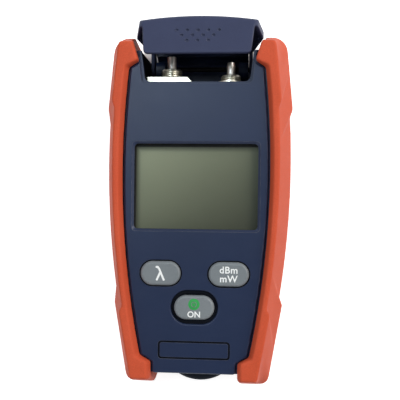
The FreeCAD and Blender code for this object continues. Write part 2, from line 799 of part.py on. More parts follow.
def make_dust_cover():
    """Flip-up cover, drawn shut about its hinge and turned open by its placement."""
    body = new_body("dust_cover")
    top = "face_top - hinge_z"
    low = sketch_on(body, "cover_low", "XY_Plane", "0")
    cover_plan(low, "cover_low_half", "0", "cover_front_y", "cover_root_corner_y")
    pad(body, low, "cover_flare_z")
    levels = [
        ("low", "cover_flare_z", "cover_low_half", "cover_root_corner_y"),
        ("middle", "cover_shoulder_z", "cover_shoulder_half", "cover_corner_y"),
        ("high", top, "cover_crown_half", "cover_corner_y"),
    ]
    sections = []
    for name, level, half, corner in levels:
        section = sketch_on(body, f"cover_flare_{name}", "XY_Plane", level)
        cover_plan(section, half, "0", "cover_front_y", corner)
        sections.append(section)
    loft(body, sections)

    def crown_edges(edge):
        box = edge.BoundBox
        level = abs(box.ZMin - value(top)) < 1e-3 and abs(box.ZMax - value(top)) < 1e-3
        return level and box.Center.y > value("cover_front_y + 0.1")
    fillet(body, "cover_crown_round", crown_edges, "cover_crown_fillet")

    inner_low = sketch_on(body, "cover_room_root", "XY_Plane", "0")
    cover_plan(inner_low, "cover_low_half", "cover_wall", "cover_front_y - 2", "cover_root_corner_y")
    pocket(body, inner_low, "cover_flare_z", up=True)
    levels[-1] = ("high", f"{top} - cover_wall", "cover_crown_half", "cover_corner_y")
    rooms = []
    for name, level, half, corner in levels:
        room = sketch_on(body, f"cover_room_{name}", "XY_Plane", level)
        cover_plan(room, half, "cover_wall", "cover_front_y - 2", corner)
        rooms.append(room)
    loft(body, rooms, cut=True)

    flap = sketch_on(body, "cover_flap", "XY_Plane", f"{top} - cover_wall")
    mirrored_outline(flap, [
        ("flap_low_half", "bay_bottom_y + flap_gap - hinge_y", "flap_corner"),
        ("flap_high_half", "cover_front_y + 1.5"),
    ])
    pad(body, flap, "cover_wall")
    for side, start in (("right", EAR_INNER), ("left", "-cover_low_half")):
        ear = sketch_on(body, f"cover_ear_{side}", "YZ_Plane", start)
        outline(ear, [
            ("-ear_radius", "-ear_radius", "ear_radius - 0.15"),
            ("ear_radius", "-ear_radius", "1"),
            ("cover_corner_y - 0.5", "0.1"),
            ("cover_corner_y - 0.5", "cover_flare_z - 0.2"),
            ("cover_front_y", "cover_flare_z - 0.2"),
            ("-ear_radius", "ear_radius", "ear_radius - 0.8"),
        ])
        pad(body, ear, f"cover_low_half - ({EAR_INNER})")
    bore = sketch_on(body, "cover_bore", "YZ_Plane")
    circle(bore, "0", "0", "pin_radius")
    through = pocket(body, bore, "2 * cover_low_half + 2")
    through.Midplane = True
    DOC.recompute()
    place_on_hinge(body)
    return body


def place_on_hinge(piece):
    """Swing a piece that is drawn about the hinge to its resting angle."""
    piece.Placement = FreeCAD.Placement(V(0, 0, 0), FreeCAD.Rotation(V(-1, 0, 0), value("cover_open")))
    bind(piece, "Placement.Rotation.Angle", "cover_open * 1 deg")
    bind(piece, "Placement.Base.y", "hinge_y * 1 mm")
    bind(piece, "Placement.Base.z", "hinge_z * 1 mm")


def make_cover_pin():
    """Steel hinge pin, pressed into the ears and turning in the lugs."""
    body = new_body("cover_pin")
    section = sketch_on(body, "pin_section", "YZ_Plane", "-cover_low_half + 0.3")
    circle(section, "0", "0", "pin_radius")
    pad(body, section, "2 * (cover_low_half - 0.3)")
    place_on_hinge(body)
    return body


# ---------------------------------------------------------------- display


def frame_piece(name, level, thick, border, hole_border, corner="view_corner"):
    """Rectangular plate or frame centred behind the display opening."""
    body = new_body(name)
    plan = sketch_on(body, name + "_plan", "XY_Plane", level)
    centred_box(plan, "0", "view_y", f"view_wide + 2 * ({border})", f"view_high + 2 * ({border})", corner)
    if hole_border is not None:
        centred_box(plan, "0", "view_y", f"view_wide + 2 * ({hole_border})",
                    f"view_high + 2 * ({hole_border})", "0.6")
    pad(body, plan, thick)
    return body


def make_display():
    """Lens, gasket, glass and the holder that carries the glass on the board."""
    frame_piece("display_window", LENS_Z, "lens_thick", "lens_border", None)
    frame_piece("window_gasket", GASKET_Z, "gasket_thick", "lens_border", "-0.4")
    frame_piece("lcd_glass", GLASS_Z, "glass_thick", "glass_border", None, "0.4")
    holder = frame_piece("lcd_holder", BOARD_TOP, f"{GLASS_Z} + glass_thick * 0.7 - ({BOARD_TOP})",
                         "glass_border + holder_gap + holder_wall", "-1.5")
    seat = sketch_on(holder, "lcd_holder_seat", "XY_Plane", GLASS_Z)
    centred_box(seat, "0", "view_y", "view_wide + 2 * (glass_border + holder_gap)",
                "view_high + 2 * (glass_border + holder_gap)", "0.5")
    pocket(holder, seat, "glass_thick", up=True)


# ------------------------------------------------------------------- keys


def make_keypad():
    """Three domed keys and the rubber mat with a blister under each."""
    for name, (x, y) in KEY_PLACES.items():
        body = new_body(name)
        skirt = sketch_on(body, name + "_skirt", "XY_Plane", FLANGE_Z)
        centred_box(skirt, x, y, "key_wide + 2 * key_flange", "key_high + 2 * key_flange",
                    "key_high / 2 + key_flange - 0.02")
        pad(body, skirt, "key_flange_thick")
        cap = sketch_on(body, name + "_cap", "XY_Plane", FLANGE_Z)
        centred_box(cap, x, y, "key_wide", "key_high", "key_high / 2 - 0.02")
        pad(body, cap, f"face_top + key_proud - ({FLANGE_Z})")
        fillet(body, "key_proud", flat_at("face_top + key_proud"), name + "_dome")
    mat = new_body("keypad_mat")
    sheet = sketch_on(mat, "mat_sheet", "XY_Plane", BOARD_TOP)
    box_outline(sheet, "-board_half + 0.2", "low_key_y - 6", "board_half - 0.2", "side_key_y + 6.5", "1")
    pad(mat, sheet, "1")
    blisters = sketch_on(mat, "mat_blisters", "XY_Plane", BOARD_TOP)
    hollows = sketch_on(mat, "mat_hollows", "XY_Plane", BOARD_TOP)
    for x, y in KEY_PLACES.values():
        circle(blisters, x, y, "key_high * 0.45")
        circle(hollows, x, y, "key_high * 0.45 - 0.9")
    pad(mat, blisters, f"{FLANGE_Z} - key_travel - key_slack - ({BOARD_TOP})")
    pocket(mat, hollows, f"{FLANGE_Z} - key_travel - key_slack - ({BOARD_TOP}) - 1", up=True)
    domes = DOC.addObject("Part::MultiFuse", "dome_switches")
    domes.Label = "dome_switches"
    domes.Shapes = [disc(f"dome_{name}", x, y, BOARD_TOP, "key_high * 0.45 - 1.4", "0.6")
                    for name, (x, y) in KEY_PLACES.items()]
    DOC.recompute()


def disc(name, x, y, z, radius, height):
    """Upright cylinder whose size and place are formulas."""
    made = DOC.addObject("Part::Cylinder", name)
    bind(made, "Radius", radius)
    bind(made, "Height", height)
    bind(made, "Placement.Base.x", f"({x}) * 1 mm")
    bind(made, "Placement.Base.y", f"({y}) * 1 mm")
    bind(made, "Placement.Base.z", f"({z}) * 1 mm")
    return made


# ------------------------------------------------------------------ board


def make_board():
    """Main board on its studs, with the screws that hold it."""
    body = new_body("main_board")
    plan = sketch_on(body, "board_plan", "XY_Plane", BOARD_Z)
    box_outline(plan, "-board_half", "-board_low_y", "board_half", "board_top_y", "1")
    for sign in ("", "-"):
        circle(plan, f"{sign}stud_x", "stud_top_y", "screw_radius")
        circle(plan, f"{sign}stud_x", "-stud_low_y", "screw_radius")
    pad(body, plan, "board_thick")
    screws = DOC.addObject("Part::MultiFuse", "board_screws")
    screws.Label = "board_screws"
    pieces = []
    for sign in ("", "-"):
        for y in ("stud_top_y", "-stud_low_y"):
            tag = f"{'left' if sign else 'right'}_{'high' if y[0] == 's' else 'low'}"
            pieces.append(disc(f"board_shank_{tag}", f"{sign}stud_x", y, BOARD_Z,
                               "screw_radius - 0.1", "board_thick + 0.2"))
            pieces.append(disc(f"board_head_{tag}", f"{sign}stud_x", y, BOARD_TOP, "1.9", "0.9"))
    screws.Shapes = pieces
    DOC.recompute()


def make_case_screws():
    """Four screws driven from the back into the posts of the front shell."""
    screws = DOC.addObject("Part::MultiFuse", "case_screws")
    screws.Label = "case_screws"
    pieces = []
    for sign in ("", "-"):
        tag = "left" if sign else "right"
        for level, x, y, z in (("top", "top_screw_x", "top_screw_y", "0.5"),
                               ("low", "low_screw_x", "low_screw_y", LOW_HEAD_Z)):
            pieces.append(disc(f"{level}_head_{tag}", sign + x, y, z, "head_radius", "head_thick"))
            pieces.append(disc(f"{level}_shank_{tag}", sign + x, y, z, "screw_radius",
                               f"boss_top + 6 - ({z})"))
    screws.Shapes = pieces
    DOC.recompute()


# ------------------------------------------------------------------ ports


def turned(name, x, profile):
    """Piece turned about a line along Y at the height of the ports."""
    body = new_body(name)
    sketch = sketch_on(body, name + "_profile", "YZ_Plane", x, "0", "port_z")
    outline(sketch, profile)
    spin(body, sketch)
    return body


def make_ports():
    """Bulkhead tray, the two fibre ports and the modules behind them."""
    tray = new_body("port_bulkhead")
    plan = sketch_on(tray, "tray_plan", "XY_Plane", "back_wall + 0.1")
    mirrored_outline(plan, [
        ("bay_high_half + tray_wall", "bulkhead_face_y - bulkhead_thick"),
        ("bay_high_half + tray_wall", "tub_top_y - 0.4"),
        ("bay_high_half", "tub_top_y - 0.4"),
        ("bay_high_half", "bulkhead_face_y"),
    ])
    pad(tray, plan, "rear_top - back_wall - 0.2")
    holes = sketch_on(tray, "tray_holes", "XZ_Plane", "-bulkhead_face_y - 1")
    circle(holes, "detector_x", "port_z", "thread_radius + 0.1")
    circle(holes, "laser_x", "port_z", "thread_radius + 0.1")
    pocket(tray, holes, "bulkhead_thick + 2", up=True)

    flange = new_body("detector_port")
    plate = sketch_on(flange, "detector_flange", "XY_Plane", "port_z - flange_wide / 2")
    outline(plate, [
        ("detector_x - flange_wide / 2", "bulkhead_face_y"),
        ("detector_x + flange_wide / 2", "bulkhead_face_y"),
        ("detector_x + flange_wide / 2", "bulkhead_face_y + flange_thick - flange_cut"),
        ("detector_x + flange_wide / 2 - flange_cut", "bulkhead_face_y + flange_thick"),
        ("detector_x - flange_wide / 2", "bulkhead_face_y + flange_thick"),
    ])
    pad(flange, plate, "flange_wide")
    barrel = sketch_on(flange, "detector_barrel", "YZ_Plane", "detector_x", "0", "port_z")
    outline(barrel, [
        ("bulkhead_face_y - bulkhead_thick", "0"),
        ("detector_top_y", "0"),
        ("detector_top_y", "thread_radius - 0.5"),
        ("detector_top_y - 0.5", "thread_radius"),
        ("bulkhead_face_y - bulkhead_thick", "thread_radius"),
    ])
    spin(flange, barrel)
    bore = sketch_on(flange, "detector_bore", "YZ_Plane", "detector_x", "0", "port_z")
    outline(bore, [
        ("bulkhead_face_y - bulkhead_thick - 1", "0"),
        ("detector_top_y + 1", "0"),
        ("detector_top_y + 1", "sleeve_radius + 0.75"),
        ("bulkhead_face_y + flange_thick", "sleeve_radius + 0.75"),
        ("bulkhead_face_y + flange_thick", "sleeve_radius + 0.02"),
        ("bulkhead_face_y - bulkhead_thick - 1", "sleeve_radius + 0.02"),
    ])
    spin(flange, bore, cut=True)

    turned("laser_port", "laser_x", [
        ("bulkhead_face_y - bulkhead_thick", "sleeve_radius - 0.08"),
        ("bulkhead_face_y + 2", "sleeve_radius - 0.08"),
        ("bulkhead_face_y + 2", "sleeve_radius + 0.65"),
        ("laser_top_y", "sleeve_radius + 0.65"),
        ("laser_top_y", "thread_radius - 0.5"),
        ("laser_top_y - 0.5", "thread_radius"),
        ("bulkhead_face_y + 1.6", "thread_radius"),
        ("bulkhead_face_y + 1.6", "thread_radius + 1.6"),
        ("bulkhead_face_y", "thread_radius + 1.6"),
        ("bulkhead_face_y", "thread_radius"),
        ("bulkhead_face_y - bulkhead_thick", "thread_radius"),
    ])
    turned("detector_sleeve", "detector_x", [
        ("bulkhead_face_y - bulkhead_thick", "ferrule_bore"),
        ("detector_tip_y", "ferrule_bore"),
        ("detector_tip_y", "sleeve_radius - 0.25"),
        ("detector_tip_y - 0.25", "sleeve_radius"),
        ("bulkhead_face_y - bulkhead_thick", "sleeve_radius"),
    ])
    turned("laser_sleeve", "laser_x", [
        ("bulkhead_face_y - bulkhead_thick", "ferrule_bore"),
        ("laser_tip_y", "ferrule_bore"),
        ("laser_tip_y", "sleeve_radius - 0.4"),
        ("laser_tip_y - 1.6", "sleeve_radius - 0.1"),
        ("bulkhead_face_y - bulkhead_thick", "sleeve_radius - 0.1"),
    ])
    for name, x in (("detector_module", "detector_x"), ("laser_module", "laser_x")):
        turned(name, x, [
            ("module_y", "0"),
            ("bulkhead_face_y - bulkhead_thick", "0"),
            ("bulkhead_face_y - bulkhead_thick", "module_radius"),
            ("bulkhead_face_y - bulkhead_thick - 2", "module_radius"),
            ("bulkhead_face_y - bulkhead_thick - 2", "module_radius - 0.7"),
            ("module_y", "module_radius - 0.7"),
        ])


# ---------------------------------------------------------------- battery


def make_battery():
    """Two AA cells with their contacts, and the door that shuts the bay."""
    door = new_body("battery_door")
    plan = sketch_on(door, "door_plan", "XY_Plane")
    box_outline(plan, f"-({DOOR_HALF})", DOOR_LOW, DOOR_HALF, DOOR_HIGH, "1.3")
    pad(door, plan, "door_thick")
    notch = sketch_on(door, "door_grip", "XY_Plane")
    centred_box(notch, "0", f"{DOOR_HIGH} - 5", "14", "4.4", "2.1")
    pocket(door, notch, "0.7", up=True)

    for name, sign in (("cell_right", ""), ("cell_left", "-")):
        body = new_body(name)
        profile = sketch_on(body, name + "_profile", "YZ_Plane", f"{sign}{CELL_X}", "0", CELL_Z)
        flat = "bay_low_y + contact_thick + spring_free"
        crest = f"{flat} + cell_length"
        if sign:
            flat = f"{BAY_HIGH} - contact_thick - spring_free"
            crest = f"{flat} - cell_length"
        back = "-" if sign else "+"
        ahead = "+" if sign else "-"
        outline(profile, [
            (flat, "0"),
            (crest, "0"),
            (crest, "2.6"),
            (f"{crest} {ahead} 1.3", "2.6"),
            (f"{crest} {ahead} 1.3", "cell_radius - 0.4"),
            (f"{crest} {ahead} 1.8", "cell_radius"),
            (f"{flat} {back} 0.5", "cell_radius"),
            (flat, "cell_radius - 0.5"),
        ])
        spin(body, profile)

    for name, sign in (("spring_right", ""), ("spring_left", "-")):
        root = "bay_low_y + contact_thick"
        tip = "bay_low_y + contact_thick + spring_free"
        if sign:
            root = f"{BAY_HIGH} - contact_thick"
            tip = f"{BAY_HIGH} - contact_thick - spring_free"
        body = new_body(name)
        profile = sketch_on(body, name + "_profile", "YZ_Plane", f"{sign}{CELL_X}", "0", CELL_Z)
        outline(profile, [(root, "3.4"), (root, "4.3"), (tip, "3.0"), (tip, "2.1")])
        spin(body, profile)

    for name, start in (("contact_low", "bay_low_y"), ("contact_high", f"{BAY_HIGH} - contact_thick")):
        body = new_body(name)
        plan = sketch_on(body, name + "_plan", "XY_Plane", "back_wall + 2")
        box_outline(plan, f"-({BAY_HALF} - 1)", start, f"{BAY_HALF} - 1", f"{start} + contact_thick")
        pad(body, plan, "cell_radius * 1.7")


# ------------------------------------------------------------------ stand


def make_stand():
    """Tilt stand: a flat bail with its own trunnions and a rounded tongue."""
    body = new_body("tilt_stand")
    plan = sketch_on(body, "stand_plan", "XY_Plane", "stand_lift")
    outline(plan, [
        ("stand_outer", "stand_pivot_y"),
        ("stand_inner", "stand_pivot_y"),
        ("stand_inner", "stand_bend_y"),
        ("stand_bar_half", "stand_bar_y"),
        ("-stand_bar_half", "stand_bar_y"),
        ("-stand_inner", "stand_bend_y"),
        ("-stand_inner", "stand_pivot_y"),
        ("-stand_outer", "stand_pivot_y"),
        ("-stand_outer", "stand_bend_y"),
        ("-stand_neck", "stand_neck_y"),
        ("arc", "0", "stand_tip_y"),
        ("stand_neck", "stand_neck_y"),
        ("stand_outer", "stand_bend_y"),
    ])
    pad(body, plan, "stand_thick")
    middle = "stand_lift + stand_thick / 2"
    for side, start in (("right", "stand_inner"), ("left", "-stand_outer")):
        eye = sketch_on(body, f"stand_eye_{side}", "YZ_Plane", start)
        circle(eye, "stand_pivot_y", middle, "stand_thick / 2")
        pad(body, eye, "stand_outer - stand_inner")
    for side, start in (("right", "stand_outer - 1"), ("left", "-stand_outer - trunnion_long")):
        pivot = sketch_on(body, f"stand_trunnion_{side}", "YZ_Plane", start)
        circle(pivot, "stand_pivot_y", middle, "trunnion_radius")
        pad(body, pivot, "trunnion_long + 1")

    def tongue(edge):
        box = edge.BoundBox
        level = abs(box.ZMin - box.ZMax) < 1e-4
        return level and box.YMin < value("stand_neck_y + 0.5")
    fillet(body, "1.1", tongue, "stand_tip_round")
    return body


# ------------------------------------------------- places made from the sizes

CELL_X = "(cell_radius + cell_space / 2)"
BAY_HALF = f"{CELL_X} + cell_radius + cell_gap"
BAY_LENGTH = "cell_length + spring_free + 2 * contact_thick"
BAY_HIGH = f"(bay_low_y + {BAY_LENGTH})"
CELL_Z = "(back_wall + cell_gap + cell_radius)"
BAY_TOP = f"({CELL_Z} + cell_radius + cell_gap + bay_wall)"
DOOR_HALF = f"({BAY_HALF} + door_lip)"
DOOR_LOW = "(bay_low_y - door_lip + 0.2)"
DOOR_HIGH = f"({BAY_HIGH} + door_lip - 0.2)"
LOW_HEAD_Z = "(stand_lift + stand_thick + stand_gap + 0.2)"
TRAY_HALF = "(bay_high_half + tray_wall + 0.15)"
EAR_INNER = "(cover_low_half - cover_wall)"
BOARD_Z = f"({BAY_TOP} + board_gap)"
BOARD_TOP = f"({BOARD_Z} + board_thick)"
LENS_Z = "(rim_top - lens_thick)"
GASKET_Z = f"({LENS_Z} - gasket_thick)"
GLASS_Z = f"({GASKET_Z} - glass_thick)"
FLANGE_Z = "(rim_top - key_slack - key_flange_thick)"
KEY_PLACES = {
    "key_wavelength": ("-side_key_x", "side_key_y"),
    "key_units": ("side_key_x", "side_key_y"),
    "key_power": ("0", "low_key_y"),
}


def check_and_write():
    """Refuse a failed object or an invalid shape, then write the pieces."""
    DOC.recompute()
    for item in DOC.Objects:
        if any(word in ("Invalid", "Error") for word in item.State):
            raise RuntimeError(f"{item.Name} did not build: {item.State}")
    inner = {child.Name for item in DOC.Objects if item.TypeId == "Part::MultiFuse" for child in item.Shapes}
    os.makedirs("parts", exist_ok=True)
    count = 0
    for item in DOC.Objects:
        kept = item.TypeId in ("PartDesign::Body", "Part::MultiFuse", "Part::Mirroring")
        if not kept or item.Name in inner:
            continue
        shape = item.Shape
        if shape.isNull() or not shape.isValid():
            raise RuntimeError(f"{item.Label} is not a valid shape")
        shape.exportStep(f"parts/{item.Label}.step")
        count += 1
        print(f"{item.Label}: {len(shape.Solids)} solid, {shape.Volume:.1f} mm3")
    print(f"{count} pieces written")


fill_sheet()
make_rear_shell()
make_front_shell()
make_grips()
make_dust_cover()
make_cover_pin()
make_display()
make_keypad()
make_board()
make_case_screws()
make_ports()
make_battery()
make_stand()
check_and_write()
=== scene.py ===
"""Looks of a hand-held optical power meter, laid over its packed construction model.

The meter lies on its back: X runs to the right of the face, Y towards the fibre
ports and Z out of the display.  Lengths are in metres.
"""

import logging
import math
from collections.abc import Callable, Iterator, Sequence
from contextlib import contextmanager
from dataclasses import dataclass
from enum import Enum

import bmesh
import bpy
from mathutils import Matrix, Vector


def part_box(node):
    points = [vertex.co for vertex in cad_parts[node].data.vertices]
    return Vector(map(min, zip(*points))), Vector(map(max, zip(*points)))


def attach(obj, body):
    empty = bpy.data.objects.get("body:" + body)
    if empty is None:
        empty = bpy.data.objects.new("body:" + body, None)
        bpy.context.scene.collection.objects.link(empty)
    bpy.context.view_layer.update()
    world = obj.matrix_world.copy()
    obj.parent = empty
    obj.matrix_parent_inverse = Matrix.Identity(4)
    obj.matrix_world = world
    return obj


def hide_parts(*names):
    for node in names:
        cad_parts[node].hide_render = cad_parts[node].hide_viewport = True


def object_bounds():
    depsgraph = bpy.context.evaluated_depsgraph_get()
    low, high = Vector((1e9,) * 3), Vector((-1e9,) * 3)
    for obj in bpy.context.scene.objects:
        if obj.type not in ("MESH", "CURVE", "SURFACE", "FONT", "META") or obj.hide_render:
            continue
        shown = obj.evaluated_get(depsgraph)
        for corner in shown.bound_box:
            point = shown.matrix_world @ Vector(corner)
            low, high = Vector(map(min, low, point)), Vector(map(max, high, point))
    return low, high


MM = 0.001
HAIR = 0.03 * MM  # keeps apart two faces or edges that would coincide
WHITE = (1.0, 1.0, 1.0, 1.0)
LOG = logging.getLogger("optical_power_meter")

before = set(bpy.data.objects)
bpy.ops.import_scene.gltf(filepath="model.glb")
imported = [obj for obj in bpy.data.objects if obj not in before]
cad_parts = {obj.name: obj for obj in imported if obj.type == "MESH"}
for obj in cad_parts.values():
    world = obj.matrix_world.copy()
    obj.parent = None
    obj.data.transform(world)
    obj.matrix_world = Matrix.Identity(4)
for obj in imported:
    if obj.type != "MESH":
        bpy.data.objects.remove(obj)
CAD_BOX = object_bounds()

Colour = tuple[float, float, float]
Place = tuple[float, float, float]
Pair = tuple[float, float]
Steps = Sequence[Pair]


class Axis(Enum):
    """Direction in which a turned piece grows."""

    Y = (0.0, 1.0, 0.0)
    Z = (0.0, 0.0, 1.0)
    DOWN = (0.0, 0.0, -1.0)


class Body(Enum):
    """Rigid bodies that the new pieces ride on."""

    HOUSING = "housing"
    COVER = "cover"
    WAVELENGTH = "wavelength_key"
    UNITS = "units_key"
    POWER = "power_key"


# ------------------------------------------------------------------ materials


class Graph:
    """Short-hand for wiring the nodes of one material or world."""

    def __init__(self, name: str, world: bool = False) -> None:
        """Start a material or a world whose tree holds only its output.

        Args:
            name: Its name.
            world: Whether it is a world.
        """
        self.owner = (bpy.data.worlds if world else bpy.data.materials).new(name)
        self.owner.use_nodes = True
        self.tree = self.owner.node_tree
        self.tree.nodes.clear()
        self.output = self.add("OutputWorld" if world else "OutputMaterial")

    def add(self, kind: str, **inputs: object) -> bpy.types.Node:
        """Add a node and set or link its inputs.

        Args:
            kind: Node type without its ShaderNode prefix.
            **inputs: Values or sockets by input name, spaces as underscores.

        Returns:
            The new node.
        """
        node = self.tree.nodes.new("ShaderNode" + kind)
        for key, value in inputs.items():
            self.feed(node.inputs[key.replace("_", " ")], value)
        return node

    def feed(self, socket: bpy.types.NodeSocket, value: object) -> None:
        """Link a socket to another, or set its plain value.

        Args:
            socket: Input socket.
            value: Output socket or plain value.
        """
        if isinstance(value, bpy.types.NodeSocket):
            self.tree.links.new(value, socket)
        else:
            socket.default_value = value

    def coordinates(self, turn: Place = (0.0, 0.0, 0.0),
                    stretch: Place = (1.0, 1.0, 1.0)) -> bpy.types.NodeSocket:
        """Object coordinates passed through a Mapping node.

        Args:
            turn: Rotation of the pattern, in radians.
            stretch: Scale of the pattern along each axis.

        Returns:
            The mapped vector socket.
        """
        source = self.add("TexCoord")
        mapping = self.add("Mapping", Vector=source.outputs["Object"])
        mapping.inputs["Rotation"].default_value = turn
        mapping.inputs["Scale"].default_value = stretch
        return mapping.outputs["Vector"]

    def noise(self, vector: bpy.types.NodeSocket, scale: float, detail: float = 3.0,
              rough: float = 0.55) -> bpy.types.NodeSocket:
        """Noise value between 0 and 1.

        Args:
            vector: Coordinates.
            scale: Repeats per metre.
            detail: Octaves.
            rough: Strength of the finer octaves.

        Returns:
            The factor socket.
        """
        node = self.add("TexNoise", Vector=vector, Scale=scale, Detail=detail, Roughness=rough)
        return node.outputs["Fac"]

    def spread(self, value: bpy.types.NodeSocket, low: float, high: float, to_low: float, to_high: float,
               smooth: bool = False) -> bpy.types.NodeSocket:
        """Map a value from one range to another, held at its ends.

        Args:
            value: Value to map.
            low: Start of its range.
            high: End of its range.
            to_low: Result at the start.
            to_high: Result at the end.
            smooth: Whether the change eases in and out.

        Returns:
            The result socket.
        """
        node = self.add("MapRange")
        node.clamp = True
        node.interpolation_type = "SMOOTHSTEP" if smooth else "LINEAR"
        names = ("Value", "From Min", "From Max", "To Min", "To Max")
        for name, item in zip(names, (value, low, high, to_low, to_high)):
            self.feed(node.inputs[name], item)
        return node.outputs["Result"]

    def blend(self, factor: object, first: object, second: object) -> bpy.types.NodeSocket:
        """Mix two colours.

        Args:
            factor: Share of the second colour.
            first: First colour.
            second: Second colour.

        Returns:
            The mixed colour socket.
        """
        node = self.tree.nodes.new("ShaderNodeMix")
        node.data_type = "RGBA"
        for index, item in ((0, factor), (6, first), (7, second)):
            if isinstance(item, tuple) and len(item) == 3:
                item = (*item, 1.0)
            self.feed(node.inputs[index], item)
        return node.outputs[2]

    def math(self, operation: str, first: object, second: object = 0.0) -> bpy.types.NodeSocket:
        """Arithmetic on one or two values.

        Args:
            operation: Name of the operation.
            first: First value.
            second: Second value.

        Returns:
            The result socket.
        """
        node = self.tree.nodes.new("ShaderNodeMath")
        node.operation = operation
        self.feed(node.inputs[0], first)
        self.feed(node.inputs[1], second)
        return node.outputs[0]

    def bump(self, height: bpy.types.NodeSocket, depth: float,
             normal: bpy.types.NodeSocket | None = None) -> bpy.types.NodeSocket:
        """Bump of a height map.

        Args:
            height: Height from 0 to 1.
            depth: Depth of the full range, in metres.
            normal: Normal to start from.

        Returns:
            The normal socket.
        """
        node = self.add("Bump", Height=height, Strength=1.0, Distance=depth)
        if normal is not None:
            self.feed(node.inputs["Normal"], normal)
        return node.outputs["Normal"]

    def soft_edges(self, radius: float) -> bpy.types.NodeSocket:
        """Normal that rounds sharp edges.

        Args:
            radius: Radius of the rounding, in metres.

        Returns:
            The normal socket.
        """
        node = self.add("Bevel", Radius=radius)
        node.samples = 6
        return node.outputs["Normal"]

    def edge_share(self, rounded: bpy.types.NodeSocket, most: float) -> bpy.types.NodeSocket:
        """Share of wear on edges, where the rounded normal leaves the true one.

        Args:
            rounded: Normal of the softened surface.
            most: Share on the sharpest edges.

        Returns:
            A value from 0 to that share.
        """
        product = self.tree.nodes.new("ShaderNodeVectorMath")
        product.operation = "DOT_PRODUCT"
        self.feed(product.inputs[0], rounded)
        self.feed(product.inputs[1], self.add("NewGeometry").outputs["Normal"])
        return self.spread(product.outputs["Value"], 0.90, 0.995, most, 0.0)

    def seen(self) -> bpy.types.NodeSocket:
        """Whether a ray is seen, straight or by way of gloss or glass, and isn't light on the object.

        Returns:
            A value of 1 or 0.
        """
        rays = self.add("LightPath")
        seen = rays.outputs["Is Camera Ray"]
        for kind in ("Is Glossy Ray", "Is Transmission Ray"):
            seen = self.math("MAXIMUM", seen, rays.outputs[kind])
        return seen

    def finish(self, shader: bpy.types.Node) -> bpy.types.ID:
        """Wire the shader to the output and return the material or world."""
        self.tree.links.new(shader.outputs[0], self.output.inputs["Surface"])
        return self.owner


@dataclass(frozen=True)
class Finish:
    """A finish that wires its own material.

    Attributes:
        name: Name of the material.
    """

    name: str

    def material(self) -> bpy.types.Material:
        """Build the material, procedural and on object coordinates."""
        graph = Graph(self.name)
        return graph.finish(self.surface(graph))

    def surface(self, graph: Graph) -> bpy.types.Node:
        """Wire the surface and return its shader."""
        raise NotImplementedError


@dataclass(frozen=True)
class Moulded(Finish):
    """Moulded plastic or rubber with a fine grain and light handling wear.

    Attributes:
        colour: Main colour.
        shade: Colour of the darker patches.
        roughness: Mean roughness.
        grain: Grains per metre.
        depth: Depth of the grain in metres.
        worn: Colour that rubbed edges turn towards.
        wear: How strongly the edges are rubbed.
        gloss: Specular level of the bare surface.
        coat: Weight of a thin gloss layer.
        edge: Radius that softens sharp edges, in metres.
    """

    colour: Colour
    shade: Colour
    roughness: float = 0.45
    grain: float = 3600.0
    depth: float = 0.00002
    worn: Colour = (0.35, 0.36, 0.40)
    wear: float = 0.25
    gloss: float = 0.20
    coat: float = 0.0
    edge: float = 0.00022

    def surface(self, graph: Graph) -> bpy.types.Node:
        """Wire a fine grain, uneven colour, soft edges and their wear.

        Args:
            graph: Graph of the material.

        Returns:
            The shader.
        """
        place = graph.coordinates()
        patches = graph.noise(place, 38.0, 4.0)
        fine = graph.noise(place, self.grain, 2.0)
        wiped = graph.coordinates(turn=(0.2, 0.4, 0.9), stretch=(1.0, 1.8, 1.0))
        smears = graph.noise(wiped, 150.0, 5.0, 0.7)
        mixed = graph.blend(graph.spread(patches, 0.35, 0.65, 0.0, 1.0), self.shade, self.colour)
        speckle = graph.spread(fine, 0.30, 0.70, 0.93, 1.07)
        toned = graph.add("HueSaturation", Color=mixed, Value=speckle)
        rounded = graph.soft_edges(self.edge)
        rubbed = graph.math("MULTIPLY", graph.edge_share(rounded, self.wear),
                            graph.spread(smears, 0.35, 0.62, 0.0, 1.0))
        colour = graph.blend(rubbed, toned.outputs["Color"], self.worn)
        rough = graph.spread(smears, 0.3, 0.7, self.roughness - 0.03, self.roughness + 0.03)
        normal = graph.bump(fine, self.depth, rounded)
        shader = graph.add("BsdfPrincipled", Base_Color=colour, Roughness=rough, Normal=normal)
        shader.inputs["Specular IOR Level"].default_value = self.gloss
        shader.inputs["Coat Weight"].default_value = self.coat
        shader.inputs["Coat Roughness"].default_value = 0.12
        return shader


@dataclass(frozen=True)
class Metal(Finish):
    """Plated or machined metal with turning lines and faint stains.

    Attributes:
        colour: Metal colour.
        stain: Colour of the faint tarnish.
        roughness: Mean roughness.
        lines: Machining lines per metre, along Y.
        depth: Depth of those lines in metres.
    """

    colour: Colour
    stain: Colour
    roughness: float = 0.22
    lines: float = 5200.0
    depth: float = 0.000006

    def surface(self, graph: Graph) -> bpy.types.Node:
        """Wire the metal with its turning lines and stains.

        Args:
            graph: Graph of the material.

        Returns:
            The shader.
        """
        place = graph.coordinates()
        turning = graph.noise(graph.coordinates(stretch=(0.06, 1.0, 0.06)), self.lines, 2.0)
        tarnish = graph.noise(place, 420.0, 4.0)
        colour = graph.blend(graph.spread(tarnish, 0.45, 0.75, 0.0, 0.55), self.colour, self.stain)
        rough = graph.spread(tarnish, 0.3, 0.7, self.roughness - 0.06, self.roughness + 0.12)
        normal = graph.bump(turning, self.depth, graph.soft_edges(0.00012))
        shader = graph.add("BsdfPrincipled", Base_Color=colour, Roughness=rough, Normal=normal)
        shader.inputs["Metallic"].default_value = 1.0
        return shader


